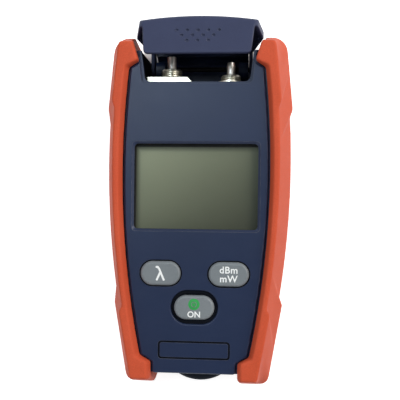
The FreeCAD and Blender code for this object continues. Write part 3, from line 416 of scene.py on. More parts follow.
@dataclass(frozen=True)
class DisplayFilm(Finish):
    """Reflective display film with a painted reflection, lighter towards its upper left, and a painted shadow
    along its left and top edges.

    Attributes:
        light: Colour at the light corner of the painted reflection.
        dark: Colour at the dark corner of the painted reflection.
        centre: Middle of the film.
        reach: Distance over which the painted reflection changes, in metres.
        half: Half-width and half-height of the part that shows.
        lean: How much the painted reflection falls along X for each unit along Y.
        curve: Power that bends the painted reflection.
        rim: Width of the painted shadow at the left and the top.
    """

    light: Colour
    dark: Colour
    centre: Place
    reach: float
    half: Pair
    lean: float = 0.655
    curve: float = 1.6
    rim: float = 2.2 * MM

    def surface(self, graph: Graph) -> bpy.types.Node:
        """Wire a painted reflection as a diagonal tone, a painted shadow along the left and top edges, and a
        faint weave of cells.

        Args:
            graph: Graph of the material.

        Returns:
            The shader.
        """
        place = graph.coordinates()
        parts = graph.add("SeparateXYZ", Vector=place)
        # Painted reflection: a diagonal tone, lighter towards the upper left, with a faint cloud in it.
        side = graph.math("SUBTRACT", parts.outputs["X"], self.centre[0])
        rise = graph.math("SUBTRACT", parts.outputs["Y"], self.centre[1])
        slant = graph.math("ADD", graph.math("MULTIPLY", side, -self.lean), rise)
        cloud = graph.math("SUBTRACT", graph.noise(place, 30.0, 2.0), 0.5)
        drift = graph.math("MULTIPLY", cloud, self.reach * 0.12)
        even = graph.spread(graph.math("ADD", slant, drift), -self.reach, self.reach, 0.0, 1.0)
        # Painted shadow of the window's edge along the film's left and top.
        painted_shadow_left = graph.spread(side, -self.half[0], self.rim - self.half[0], 0.1, 1.0)
        painted_shadow_top = graph.spread(rise, self.half[1] - self.rim, self.half[1], 1.0, 0.05)
        bent = graph.math("POWER", even, self.curve)
        tone = graph.math("MULTIPLY", bent, graph.math("MINIMUM", painted_shadow_left, painted_shadow_top))
        cells = graph.noise(place, 9000.0, 1.0)
        base = graph.blend(tone, self.dark, self.light)
        grainy = graph.add("HueSaturation", Color=base, Value=graph.spread(cells, 0.3, 0.7, 0.95, 1.05))
        rough = graph.spread(graph.noise(place, 260.0, 3.0), 0.3, 0.7, 0.34, 0.46)
        shader = graph.add("BsdfPrincipled", Base_Color=grainy.outputs["Color"], Roughness=rough,
                           Normal=graph.bump(cells, 0.000004))
        shader.inputs["Specular IOR Level"].default_value = 0.15
        return shader


@dataclass(frozen=True)
class ClearLens(Finish):
    """Thin clear acrylic window with faint wipe marks.

    Attributes:
        tint: Colour of the acrylic.
        alpha: How much of the surface hides what lies behind it.
    """

    tint: Colour
    alpha: float

    def surface(self, graph: Graph) -> bpy.types.Node:
        """Wire a mostly transparent gloss.

        Args:
            graph: Graph of the material.

        Returns:
            The shader.
        """
        wipe = graph.noise(graph.coordinates(turn=(0.0, 0.0, 0.6), stretch=(1.0, 9.0, 1.0)), 160.0, 5.0, 0.7)
        rough = graph.spread(wipe, 0.3, 0.75, 0.05, 0.16)
        veil = graph.spread(wipe, 0.35, 0.8, self.alpha, 2.0 * self.alpha)
        shader = graph.add("BsdfPrincipled", Roughness=rough, Alpha=veil)
        shader.inputs["Base Color"].default_value = (*self.tint, 1.0)
        return shader


@dataclass(frozen=True)
class CellJacket(Finish):
    """Printed jacket of a battery cell: two plain bands and bare metal ends.

    Attributes:
        band: Colour of the long band.
        ring: Colour of the short band.
        low: Y of the cell's lower end.
        high: Y of the cell's upper end.
        bare: Lengths of bare metal at the lower and the upper end.
        share: Share of the cell's length that the short band takes.
    """

    band: Colour
    ring: Colour
    low: float
    high: float
    bare: Pair = (1.2 * MM, 2.2 * MM)
    share: float = 0.24

    def surface(self, graph: Graph) -> bpy.types.Node:
        """Wire the bands along Y.

        Args:
            graph: Graph of the material.

        Returns:
            The shader.
        """
        place = graph.coordinates()
        along = graph.add("SeparateXYZ", Vector=place).outputs["Y"]
        upper = graph.math("GREATER_THAN", along, self.high - self.share * (self.high - self.low))
        inside = graph.math("MULTIPLY", graph.math("GREATER_THAN", along, self.low + self.bare[0]),
                            graph.math("LESS_THAN", along, self.high - self.bare[1]))
        printed = graph.blend(upper, self.band, self.ring)
        scuffs = graph.spread(graph.noise(place, 900.0, 4.0), 0.62, 0.75, 0.0, 0.5)
        jacket = graph.blend(scuffs, printed, (0.30, 0.30, 0.29))
        colour = graph.blend(inside, (0.62, 0.61, 0.58), jacket)
        rough = graph.spread(graph.noise(place, 300.0, 3.0), 0.3, 0.7, 0.22, 0.38)
        shader = graph.add("BsdfPrincipled", Base_Color=colour, Roughness=rough,
                           Metallic=graph.math("SUBTRACT", 1.0, inside))
        return shader


NAVY = Moulded("navy_plastic", (0.0140, 0.0245, 0.0640), (0.0125, 0.0220, 0.0580), roughness=0.38, gloss=0.30)
COVER_NAVY = Moulded("cover_plastic", (0.038, 0.047, 0.098), (0.033, 0.041, 0.087), roughness=0.48)
DOOR_NAVY = Moulded("door_plastic", (0.018, 0.027, 0.062), (0.015, 0.023, 0.054), roughness=0.46)
ORANGE = Moulded("orange_rubber", (0.620, 0.096, 0.042), (0.585, 0.086, 0.036), roughness=0.58, grain=2400.0,
                 depth=0.00002, worn=(0.68, 0.19, 0.10), wear=0.25, gloss=0.12, edge=0.0003)
KEY_GREY = Moulded("key_plastic", (0.205, 0.225, 0.240), (0.180, 0.200, 0.215), roughness=0.42, gloss=0.30,
                   worn=(0.45, 0.47, 0.48))
STAND_BLACK = Moulded("stand_plastic", (0.014, 0.018, 0.030), (0.010, 0.014, 0.024), roughness=0.45)
RECESS_BLACK = Moulded("recess_plastic", (0.0045, 0.0045, 0.006), (0.003, 0.003, 0.004), roughness=0.55,
                       grain=1200.0, depth=0.000004, wear=0.0, gloss=0.06)
PIN_BLACK = Moulded("blackened_pin", (0.010, 0.010, 0.012), (0.006, 0.006, 0.008), roughness=0.5, wear=0.1,
                    gloss=0.10)
GASKET = Moulded("gasket_foam", (0.012, 0.012, 0.013), (0.008, 0.008, 0.009), roughness=0.80, grain=5200.0,
                 depth=0.00006, wear=0.0, gloss=0.08)
HOLDER = Moulded("holder_plastic", (0.42, 0.42, 0.40), (0.37, 0.37, 0.35), roughness=0.5)
SILICONE = Moulded("silicone_mat", (0.40, 0.41, 0.42), (0.35, 0.36, 0.37), roughness=0.55, coat=0.1)
# Near-black for pieces that paint shade: in the gaps round the keys, the plate's groove and the power key's
# well.
SHADOW_BLACK = Moulded("painted_shade_black", (0.005, 0.006, 0.010), (0.004, 0.005, 0.008), roughness=0.6,
                       wear=0.0, gloss=0.05, depth=0.00001)
SOLDER_MASK = Moulded("solder_mask", (0.012, 0.095, 0.040), (0.008, 0.070, 0.030), roughness=0.30,
                      grain=900.0, depth=0.00001, gloss=0.5, coat=0.3)
NICKEL = Metal("nickel_plate", (0.74, 0.72, 0.62), (0.62, 0.58, 0.47), roughness=0.32)
STEEL = Metal("plain_steel", (0.56, 0.56, 0.55), (0.38, 0.37, 0.35), roughness=0.34)
SPRING = Metal("spring_wire", (0.58, 0.58, 0.57), (0.42, 0.41, 0.40), roughness=0.3)
SLEEVE = Metal("ferrule_sleeve", (0.72, 0.70, 0.66), (0.55, 0.50, 0.42), roughness=0.42)
MODULE = Moulded("module_body", (0.030, 0.030, 0.034), (0.022, 0.022, 0.026), roughness=0.4)
LENS = ClearLens("clear_lens", (0.9, 0.95, 0.92), 0.008)
# Black ink of the film's border, which also paints the shadow of the window's edge at the top and left.
BORDER_AND_SHADOW_INK = Moulded("border_ink_and_shadow", (0.006, 0.007, 0.006), (0.004, 0.005, 0.004), roughness=0.5, wear=0.0,
                     gloss=0.05)
INK_WHITE = Moulded("white_ink", (0.92, 0.93, 0.92), (0.88, 0.89, 0.88), roughness=0.5, wear=0.0,
                    depth=0.000004, edge=0.00002)
INK_GREEN = Moulded("green_ink", (0.045, 0.360, 0.090), (0.036, 0.310, 0.074), roughness=0.45, wear=0.0,
                    depth=0.000004, edge=0.00002)


def dress(piece: bpy.types.Object, material: bpy.types.Material) -> None:
    """Give a piece one material on all its faces.

    Args:
        piece: CAD node or new piece.
        material: Material to show.
    """
    if piece.material_slots:
        for slot in piece.material_slots:
            slot.material = material
    else:
        piece.data.materials.append(material)


def node(name: str) -> bpy.types.Object:
    """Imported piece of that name."""
    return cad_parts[name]


def dress_nodes(finish: Finish, *names: str) -> bpy.types.Material:
    """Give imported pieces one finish.

    Args:
        finish: The finish.
        *names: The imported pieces.

    Returns:
        The material they share.
    """
    material = finish.material()
    for name in names:
        dress(node(name), material)
        LOG.info("%s wears %s", name, finish.name)
    return material


# ------------------------------------------------------------------ modelling


def clear_selection() -> None:
    """Deselect everything in object mode."""
    if bpy.context.object and bpy.context.object.mode != "OBJECT":
        bpy.ops.object.mode_set(mode="OBJECT")
    bpy.ops.object.select_all(action="DESELECT")


def only(piece: bpy.types.Object) -> None:
    """Make one piece the only selected and active one.

    Args:
        piece: The piece.
    """
    clear_selection()
    piece.select_set(True)
    bpy.context.view_layer.objects.active = piece


def bake_place(piece: bpy.types.Object) -> None:
    """Move a piece's place, turn and size into its mesh."""
    only(piece)
    bpy.ops.object.transform_apply(location=True, rotation=True, scale=True)


def apply_all(piece: bpy.types.Object) -> None:
    """Apply every modifier of a piece, in order.

    Args:
        piece: The piece.
    """
    only(piece)
    for modifier in list(piece.modifiers):
        bpy.ops.object.modifier_apply(modifier=modifier.name)


@contextmanager
def editing(piece: bpy.types.Object) -> Iterator[None]:
    """Hold a piece in edit mode, its place in its mesh and all of it selected.

    Args:
        piece: The piece.

    Yields:
        Nothing.
    """
    bake_place(piece)
    bpy.ops.object.mode_set(mode="EDIT")
    bpy.ops.mesh.select_all(action="SELECT")
    yield
    bpy.ops.object.mode_set(mode="OBJECT")


def pick_faces(piece: bpy.types.Object, test: Callable[[bmesh.types.BMFace], bool]) -> None:
    """Select the faces of the piece in edit mode that pass a test.

    Args:
        piece: Mesh in edit mode, at the origin.
        test: Function of a face.
    """
    bpy.ops.mesh.select_mode(type="FACE")
    bpy.ops.mesh.select_all(action="DESELECT")
    mesh = bmesh.from_edit_mesh(piece.data)
    for face in mesh.faces:
        face.select_set(test(face))
    mesh.select_flush_mode()
    bmesh.update_edit_mesh(piece.data)


def settle(piece: bpy.types.Object, body: Body, finish: bpy.types.Material,
           angle: float = 35.0) -> bpy.types.Object:
    """Finish a new piece: clean mesh, shading, material and body.

    Args:
        piece: The piece, in place.
        body: Body that it rides on.
        finish: Its material.
        angle: Edges sharper than this stay sharp, in degrees.

    Returns:
        The same piece.
    """
    with editing(piece):
        bpy.ops.mesh.remove_doubles(threshold=1e-7)
        bpy.ops.mesh.normals_make_consistent(inside=False)
    bpy.ops.object.shade_smooth_by_angle(angle=math.radians(angle))
    dress(piece, finish)
    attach(piece, body.value)
    LOG.info("%s rides on %s", piece.name, body.value)
    return piece


def join(name: str, pieces: Sequence[bpy.types.Object]) -> bpy.types.Object:
    """Join several new pieces into one.

    Args:
        name: Name of the result.
        pieces: Meshes to join; the first stays.

    Returns:
        The joined piece.
    """
    clear_selection()
    for piece in pieces:
        piece.select_set(True)
    bpy.context.view_layer.objects.active = pieces[0]
    bpy.ops.object.join()
    pieces[0].name = name
    return pieces[0]


def block(centre: Place, size: Place, turn: Place = (0.0, 0.0, 0.0)) -> bpy.types.Object:
    """Box to shape or to cut with, its place in its mesh.

    Args:
        centre: Middle of the box.
        size: Its three sides.
        turn: Its turn, in radians.

    Returns:
        The box.
    """
    clear_selection()
    bpy.ops.mesh.primitive_cube_add(size=1.0, location=centre, rotation=turn, scale=size)
    piece = bpy.context.object
    bake_place(piece)
    return piece


def turned(name: str, start: Place, radius: float, steps: Steps, axis: Axis = Axis.Y,
           sides: int = 56) -> bpy.types.Object:
    """Round piece grown ring by ring from a filled circle.

    Args:
        name: Name of the piece.
        start: Centre of the first ring.
        radius: Radius of the first ring.
        steps: For each next ring, how far it lies from the last and its radius.
        axis: Direction of growth.
        sides: Points round each ring.

    Returns:
        The closed piece, with its place in its mesh.
    """
    clear_selection()
    way = Vector(axis.value)
    turn = way.to_track_quat("Z", "Y").to_euler()
    bpy.ops.mesh.primitive_circle_add(vertices=sides, radius=radius, fill_type="NGON", location=start,
                                      rotation=turn)
    piece = bpy.context.object
    piece.name = name
    centre = Vector(start)
    now = radius
    with editing(piece):
        for ahead, wide in steps:
            bpy.ops.mesh.extrude_region_move(TRANSFORM_OT_translate={"value": tuple(way * ahead)})
            centre = centre + way * ahead
            scale = tuple(1.0 if abs(part) > 0.5 else wide / now for part in way)
            bpy.ops.transform.resize(value=scale, center_override=tuple(centre))
            now = wide
    return piece


def lettering(name: str, words: str, centre: Place, height: float, thick: float, spread: float = 1.0,
              weight: float = 0.0) -> bpy.types.Object:
    """Flat raised lettering, centred on a point and facing up.

    Args:
        name: Name of the piece.
        words: What it says.
        centre: Middle of the underside of the letters.
        height: Font size.
        thick: Thickness of the ink.
        spread: Space between letters, 1 being plain.
        weight: How much the strokes are thickened.

    Returns:
        A mesh with its place in it.
    """
    clear_selection()
    bpy.ops.object.text_add(location=centre)
    text = bpy.context.object
    text.data.body = words
    text.data.size = height
    text.data.align_x = "CENTER"
    text.data.align_y = "CENTER"
    text.data.space_character = spread
    text.data.extrude = thick / 2
    text.data.offset = weight
    text.data.resolution_u = 4
    bpy.ops.object.convert(target="MESH")
    piece = bpy.context.object
    piece.name = name
    low = min(corner[1] for corner in piece.bound_box)
    high = max(corner[1] for corner in piece.bound_box)
    piece.location = (centre[0], centre[1] - (low + high) / 2, centre[2] + thick / 2)
    bake_place(piece)
    return piece


def frame_ring(name: str, centre: Place, size: Pair, corner: float, inner: Pair,
               shift: Pair = (0.0, 0.0), fall: float = 0.0, thick: float = 0.1 * MM,
               segments: int = 8) -> bpy.types.Object:
    """Flat or sloping ring with rounded corners.

    Args:
        name: Name of the ring.
        centre: Middle of the ring's underside at its outer edge.
        size: Outer width and height.
        corner: Radius of the outer corners.
        inner: Width and height of the hole.
        shift: How far the hole lies off the middle.
        fall: How much lower the inner edge lies.
        thick: Thickness, upwards.
        segments: Steps round each corner.

    Returns:
        The closed ring.
    """
    clear_selection()
    bpy.ops.mesh.primitive_plane_add(size=1.0, location=centre)
    ring = bpy.context.object
    ring.name = name
    ring.scale = (size[0], size[1], 1.0)
    first = 0.02 * MM
    spread = (inner[0] / (size[0] - 2 * first), inner[1] / (size[1] - 2 * first), 1.0)
    with editing(ring):
        bpy.ops.mesh.bevel(offset=corner, segments=segments, affect="VERTICES")
        bpy.ops.mesh.select_all(action="SELECT")
        bpy.ops.mesh.inset(thickness=first)
        bpy.ops.transform.resize(value=spread, center_override=centre)
        bpy.ops.transform.translate(value=(shift[0], shift[1], -fall))
        bpy.ops.mesh.delete(type="FACE")
        bpy.ops.mesh.select_all(action="SELECT")
        bpy.ops.mesh.extrude_region_move(TRANSFORM_OT_translate={"value": (0.0, 0.0, thick)})
    return ring


def printed_stroke(name: str, start: Pair, end: Pair, level: float,
                   width: float, thick: float) -> bpy.types.Object:
    """Printed stroke with rounded ends between two points.

    Args:
        name: Name of the stroke.
        start: X and Y of one end.
        end: X and Y of the other end.
        level: Z of its underside.
        width: Width of the stroke.
        thick: Thickness of the ink.

    Returns:
        The stroke.
    """
    way = Vector((end[0] - start[0], end[1] - start[1], 0.0))
    centre = ((start[0] + end[0]) / 2, (start[1] + end[1]) / 2, level + thick / 2)
    stroke = block(centre, (way.length + width, width, thick), (0.0, 0.0, math.atan2(way.y, way.x)))
    stroke.name = name
    with editing(stroke):
        bpy.ops.mesh.select_mode(type="EDGE")
        bpy.ops.mesh.select_all(action="DESELECT")
        mesh = bmesh.from_edit_mesh(stroke.data)
        for edge in mesh.edges:
            edge.select_set(abs((edge.verts[0].co - edge.verts[1].co).z) > 0.9 * thick)
        bmesh.update_edit_mesh(stroke.data)
        bpy.ops.mesh.bevel(offset=0.42 * width, segments=4)
    return stroke


def cut(piece: bpy.types.Object, tool: bpy.types.Object) -> None:
    """Cut one closed mesh out of another and remove the tool.

    Args:
        piece: Mesh that is cut.
        tool: Mesh that is taken away.
    """
    only(piece)
    boolean = piece.modifiers.new("cut", "BOOLEAN")
    boolean.operation = "DIFFERENCE"
    boolean.solver = "EXACT"
    boolean.object = tool
    bpy.ops.object.modifier_apply(modifier=boolean.name)
    bpy.data.objects.remove(tool, do_unlink=True)


def copy_of(piece: bpy.types.Object, name: str, shift: Place) -> bpy.types.Object:
    """Copy a piece with its own mesh and move the copy.

    Args:
        piece: Piece to copy.
        name: Name of the copy.
        shift: How far the copy moves.

    Returns:
        The copy, with its place in its mesh.
    """
    only(piece)
    bpy.ops.object.duplicate()
    copy = bpy.context.object
    copy.name = name
    copy.location = shift
    bake_place(copy)
    return copy


def merged_copy(name: str, title: str) -> bpy.types.Object:
    """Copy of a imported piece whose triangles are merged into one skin.

    Args:
        name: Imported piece.
        title: Name of the copy.

    Returns:
        The copy, on its own mesh and without stored normals.
    """
    clear_selection()
    source = node(name)
    copy = bpy.data.objects.new(title, source.data.copy())
    bpy.context.scene.collection.objects.link(copy)
    copy.matrix_world = source.matrix_world.copy()
    only(copy)
    if copy.data.has_custom_normals:
        bpy.ops.mesh.customdata_custom_splitnormals_clear()
    with editing(copy):
        bpy.ops.mesh.remove_doubles(threshold=2e-6)
    return copy


def softened(name: str, title: str, grain: float, rounds: int, keep: float) -> bpy.types.Object:
    """Copy of a packed moulding with every edge rounded as a mould leaves it.

    Args:
        name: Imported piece.
        title: Name of the copy.
        grain: Size of the cells that the skin is rebuilt from.
        rounds: How many times the skin is smoothed.
        keep: Share of the triangles that is kept.

    Returns:
        The softened copy.
    """
    copy = merged_copy(name, title)
    skin = copy.modifiers.new("skin", "REMESH")
    skin.mode = "VOXEL"
    skin.voxel_size = grain
    ease = copy.modifiers.new("ease", "SMOOTH")
    ease.factor = 0.5
    ease.iterations = rounds
    lighten = copy.modifiers.new("lighten", "DECIMATE")
    lighten.ratio = keep
    apply_all(copy)
    LOG.info("%s has %d faces", title, len(copy.data.polygons))
    return copy


def middle(name: str) -> Vector:
    """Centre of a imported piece's box."""
    low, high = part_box(name)
    return (Vector(low) + Vector(high)) / 2


# --------------------------------------------------------------- sub-assemblies


@dataclass
class Case:
    """Moulded case: two shells, the rubber grips, the port bulkhead and the case screws.

    Attributes:
        head_radius: Radius of a screw head.
        head_thick: Height of a screw head.
        crown: Rises and radii of its crown, as shares of that height and radius.
        shank: Lengths and radii of a screw's shank and of its point.
        stub: How far the shank starts below the head's flat face.
        screws: Middles of the right-hand heads' flat faces.
        plate: Width and height of the bare plate near the bottom.
        plate_y: Middle of the plate.
        plate_floor: Height of the groove's floor.
        plate_corner: Radius of the groove's outer corners.
        groove: Width of the groove round the plate.
        play: Gap left beside the line of painted shade in the groove, both sides together.
        groove_shade_thick: Thickness of that line.
        grip_cell: Size of the cells that a grip's skin is rebuilt from.
        grip_rounds: How many times that skin is smoothed.
        grip_keep: Share of its triangles that is kept.
    """

    head_radius: float = 2.3 * MM
    head_thick: float = 1.5 * MM
    crown: Steps = ((0.45, 1.0), (0.30, 0.90), (0.17, 0.68), (0.08, 0.30))
    shank: Steps = ((8.0 * MM, 1.2 * MM), (1.0 * MM, 0.36 * MM))
    stub: float = 0.2 * MM
    screws: tuple[Place, ...] = ((22.0 * MM, 40.0 * MM, 2.0 * MM), (20.8 * MM, -50.0 * MM, 5.45 * MM))
    plate: Pair = (27.9 * MM, 7.0 * MM)
    plate_y: float = -54.0 * MM
    plate_floor: float = 32.6 * MM
    plate_corner: float = 1.27 * MM
    groove: float = 0.7 * MM
    play: float = 0.06 * MM
    groove_shade_thick: float = 0.14 * MM
    grip_cell: float = 0.45 * MM
    grip_rounds: int = 13
    grip_keep: float = 0.30

    def fit_grips(self) -> None:
        """Put a soft-edged rubber grip on each side."""
        rubber = ORANGE.material()
        for side in ("left", "right"):
            grip = softened(f"{side}_grip", f"{side}_rubber_grip", self.grip_cell, self.grip_rounds,
                            self.grip_keep)
            settle(grip, Body.HOUSING, rubber, 60.0)
            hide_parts(f"{side}_grip")
            dress(node(f"{side}_grip"), rubber)

    def screw(self, name: str, face: Place) -> bpy.types.Object:
        """Screw with a flat face that looks down and a crown inside the case.

        Args:
            name: Name of the screw.
            face: Middle of the head's flat face.

        Returns:
            The screw.
        """
        x, y, z = face
        steps = [(rise * self.head_thick, wide * self.head_radius) for rise, wide in self.crown]
        head = turned(name, face, self.head_radius, steps, Axis.Z, 48)
        shank = turned(name + "_shank", (x, y, z - self.stub), self.shank[0][1], self.shank, Axis.Z, 24)
        return join(name, [head, shank])

    def fit_screws(self) -> None:
        """Put a screw at each corner of the back."""
        made = []
        for number, (x, y, z) in enumerate(self.screws):
            for side in (-1, 1):
                made.append(self.screw(f"case_screw_{number}_{side + 1}", (side * x, y, z)))
        group = join("case_screw_set", made)
        settle(group, Body.HOUSING, STEEL.material())
        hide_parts("case_screws")

    def groove_shade(self) -> None:
        """Lay a black line in the groove round the bare plate, painting the shade in that groove."""
        outer = tuple(side - self.play for side in self.plate)
        inner = tuple(side - 2 * self.groove + self.play for side in self.plate)
        # Black line that paints the shade in the plate's groove.
        line = frame_ring("plate_groove_shade", (0.0, self.plate_y, self.plate_floor), outer, self.plate_corner,
                          inner, thick=self.groove_shade_thick)
        settle(line, Body.HOUSING, SHADOW_BLACK.material())

    def build(self) -> None:
        """Dress the mouldings and add the grips, the groove's painted shade and the screws."""
        dress_nodes(NAVY, "front_shell", "rear_shell")
        dress_nodes(RECESS_BLACK, "port_bulkhead")
        self.fit_grips()
        self.groove_shade()
        self.fit_screws()


@dataclass
class DustCover:
    """Hinged cover over the fibre ports and its pin.

    Attributes:
        hinge: Axis of the hinge.
        opened: Angle at which the cover rests open, in degrees.
        face: Height of the flap's outer face over the hinge when shut.
        rows: Number of dimples in each row, from the crown down.
        first_row: Place of the first row along the flap, from the hinge.
        row_gap: Distance between rows.
        pitch: Distance between dimples in a row.
        dimple: Radius of a dimple.
        depth: Depth of a dimple.
        cell: Size of the cells that the cover's skin is rebuilt from.
        rounds: How many times that skin is smoothed.
        keep: Share of its triangles that is kept.
    """

    hinge: Place = (0.0, 59.0 * MM, 7.0 * MM)
    opened: float = 22.0
    face: float = 26.0 * MM
    rows: tuple[int, ...] = (5, 4, 3)
    first_row: float = 1.7 * MM
    row_gap: float = 2.35 * MM
    pitch: float = 4.15 * MM
    dimple: float = 0.70 * MM
    depth: float = 0.60 * MM
    cell: float = 0.32 * MM
    rounds: int = 7
    keep: float = 0.35

    def dimple_tool(self) -> bpy.types.Object:
        """All the dimples as one set of round punches, swung to the resting angle.

        Returns:
            The punches.
        """
        proud = 0.15 * MM
        steps = ((proud, self.dimple), (0.7 * self.depth, 0.88 * self.dimple),
                 (0.3 * self.depth, 0.4 * self.dimple))
        start = (0.0, 0.0, self.face + proud)
        punch = turned("dimple_punch", start, 1.06 * self.dimple, steps, Axis.DOWN, 20)
        punches = []
        for row, count in enumerate(self.rows):
            for place in range(count):
                shift = ((place - (count - 1) / 2) * self.pitch, self.first_row - row * self.row_gap, 0.0)
                punches.append(copy_of(punch, f"punch_{row}_{place}", shift))
        bpy.data.objects.remove(punch, do_unlink=True)
        tool = join("dimple_tool", punches)
        tool.rotation_euler = (-math.radians(self.opened), 0.0, 0.0)
        tool.location = self.hinge
        with editing(tool):
            bpy.ops.mesh.normals_make_consistent(inside=False)
        return tool

    def build(self) -> None:
        """Press the dimples into the cover's flap and dress it and the pin."""
        finish = dress_nodes(COVER_NAVY, "dust_cover")
        cover = softened("dust_cover", "dimpled_cover", self.cell, self.rounds, self.keep)
        cut(cover, self.dimple_tool())
        settle(cover, Body.COVER, finish, 45.0)
        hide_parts("dust_cover")
        dress_nodes(PIN_BLACK, "cover_pin")


@dataclass
class FibrePorts:
    """Detector and laser ports with threads on their barrels.

    Attributes:
        port_z: Height of the port axes.
        detector_x: Place of the detector port.
        laser_x: Place of the laser port.
        turns: Thread turns on the detector's and the laser's barrel.
        barrel: Radius of both barrels.
        pitch: Distance between thread turns.
        proud: Height of a thread's crest over the barrel.
        full: Share of the pitch that the ridge fills.
        barrel_long: How far the detector's barrel stands out of its flange.
        screw_offset: Distance of the flange screws from the axis.
        screw_head: Lengths and radii of a flange screw's head.
        sunk: How far that head is sunk in the flange.
        slot: Size of the box that cuts its slot.
        slot_out: How far before the flange the middle of that box lies.
        slot_turn: Turn of the slot, in radians.
    """

    port_z: float = 18.0 * MM
    detector_x: float = -11.5 * MM
    laser_x: float = 12.6 * MM
    turns: tuple[int, int] = (4, 2)
    barrel: float = 4.0 * MM
    pitch: float = 0.75 * MM
    proud: float = 0.24 * MM
    full: float = 0.82
    barrel_long: float = 4.3 * MM
    screw_offset: float = 6.5 * MM
    screw_head: Steps = ((0.16 * MM, 1.25 * MM), (0.06 * MM, 1.10 * MM), (0.03 * MM, 0.70 * MM))
    sunk: float = 0.1 * MM
    slot: Place = (3.0 * MM, 0.8 * MM, 0.35 * MM)
    slot_out: float = 0.38 * MM
    slot_turn: float = 0.5

    def thread(self, name: str, x: float, start: float, turns: int) -> bpy.types.Object:
        """Helical ridge round a barrel.

        Args:
            name: Name of the ridge.
            x: Place of the barrel's axis.
            start: Y of the first turn.
            turns: Whole turns of the helix.

        Returns:
            The ridge.
        """
        clear_selection()
        bpy.ops.mesh.primitive_circle_add(vertices=4, radius=0.5 * self.pitch, fill_type="NOTHING",
                                          location=(self.barrel, 0.0, 0.0))
        ridge = bpy.context.object
        ridge.name = name
        ridge.scale = (2 * self.proud / self.pitch, self.full, 1.0)
        bake_place(ridge)
        screw = ridge.modifiers.new("helix", "SCREW")
        screw.axis = "Y"
        screw.angle = 2 * math.pi
        screw.steps = 44
        screw.render_steps = 44
        screw.screw_offset = self.pitch
        screw.iterations = turns
        apply_all(ridge)
        with editing(ridge):
            bpy.ops.mesh.remove_doubles(threshold=1e-6)
            bpy.ops.mesh.select_all(action="SELECT")
            bpy.ops.mesh.fill_holes(sides=8)
        ridge.location = (x, start, self.port_z)
        bake_place(ridge)
        return ridge

    def flange_screw(self, name: str, x: float, z: float, y: float) -> bpy.types.Object:
        """Low screw head with a slot on the square flange.

        Args:
            name: Name of the screw.
            x: Place of its axis.
            z: Height of its axis.
            y: Y of the flange's face.

        Returns:
            The head.
        """
        head = turned(name, (x, y - self.sunk, z), self.screw_head[0][1], self.screw_head, Axis.Y, 32)
        cut(head, block((x, y + self.slot_out, z), self.slot, (0.0, self.slot_turn, 0.0)))
        return head

    def build(self) -> None:
        """Dress the metal parts and add threads and flange screws."""
        metal = dress_nodes(NICKEL, "detector_port", "laser_port")
        dress_nodes(SLEEVE, "detector_sleeve", "laser_sleeve")
        dress_nodes(MODULE, "detector_module", "laser_module")
        for name, x, turns in zip(("detector", "laser"), (self.detector_x, self.laser_x), self.turns):
            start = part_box(name + "_port")[1][1] - (turns + 1) * self.pitch
            settle(self.thread(name + "_thread", x, start, turns), Body.HOUSING, metal, 20.0)
        flange_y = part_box("detector_port")[1][1] - self.barrel_long
        heads = []
        for side in (-1, 1):
            for rise in (-1, 1):
                x = self.detector_x + side * self.screw_offset
                z = self.port_z + rise * self.screw_offset
                heads.append(self.flange_screw(f"flange_screw_{side + 1}_{rise + 1}", x, z, flange_y))
        settle(join("flange_screws", heads), Body.HOUSING, metal)


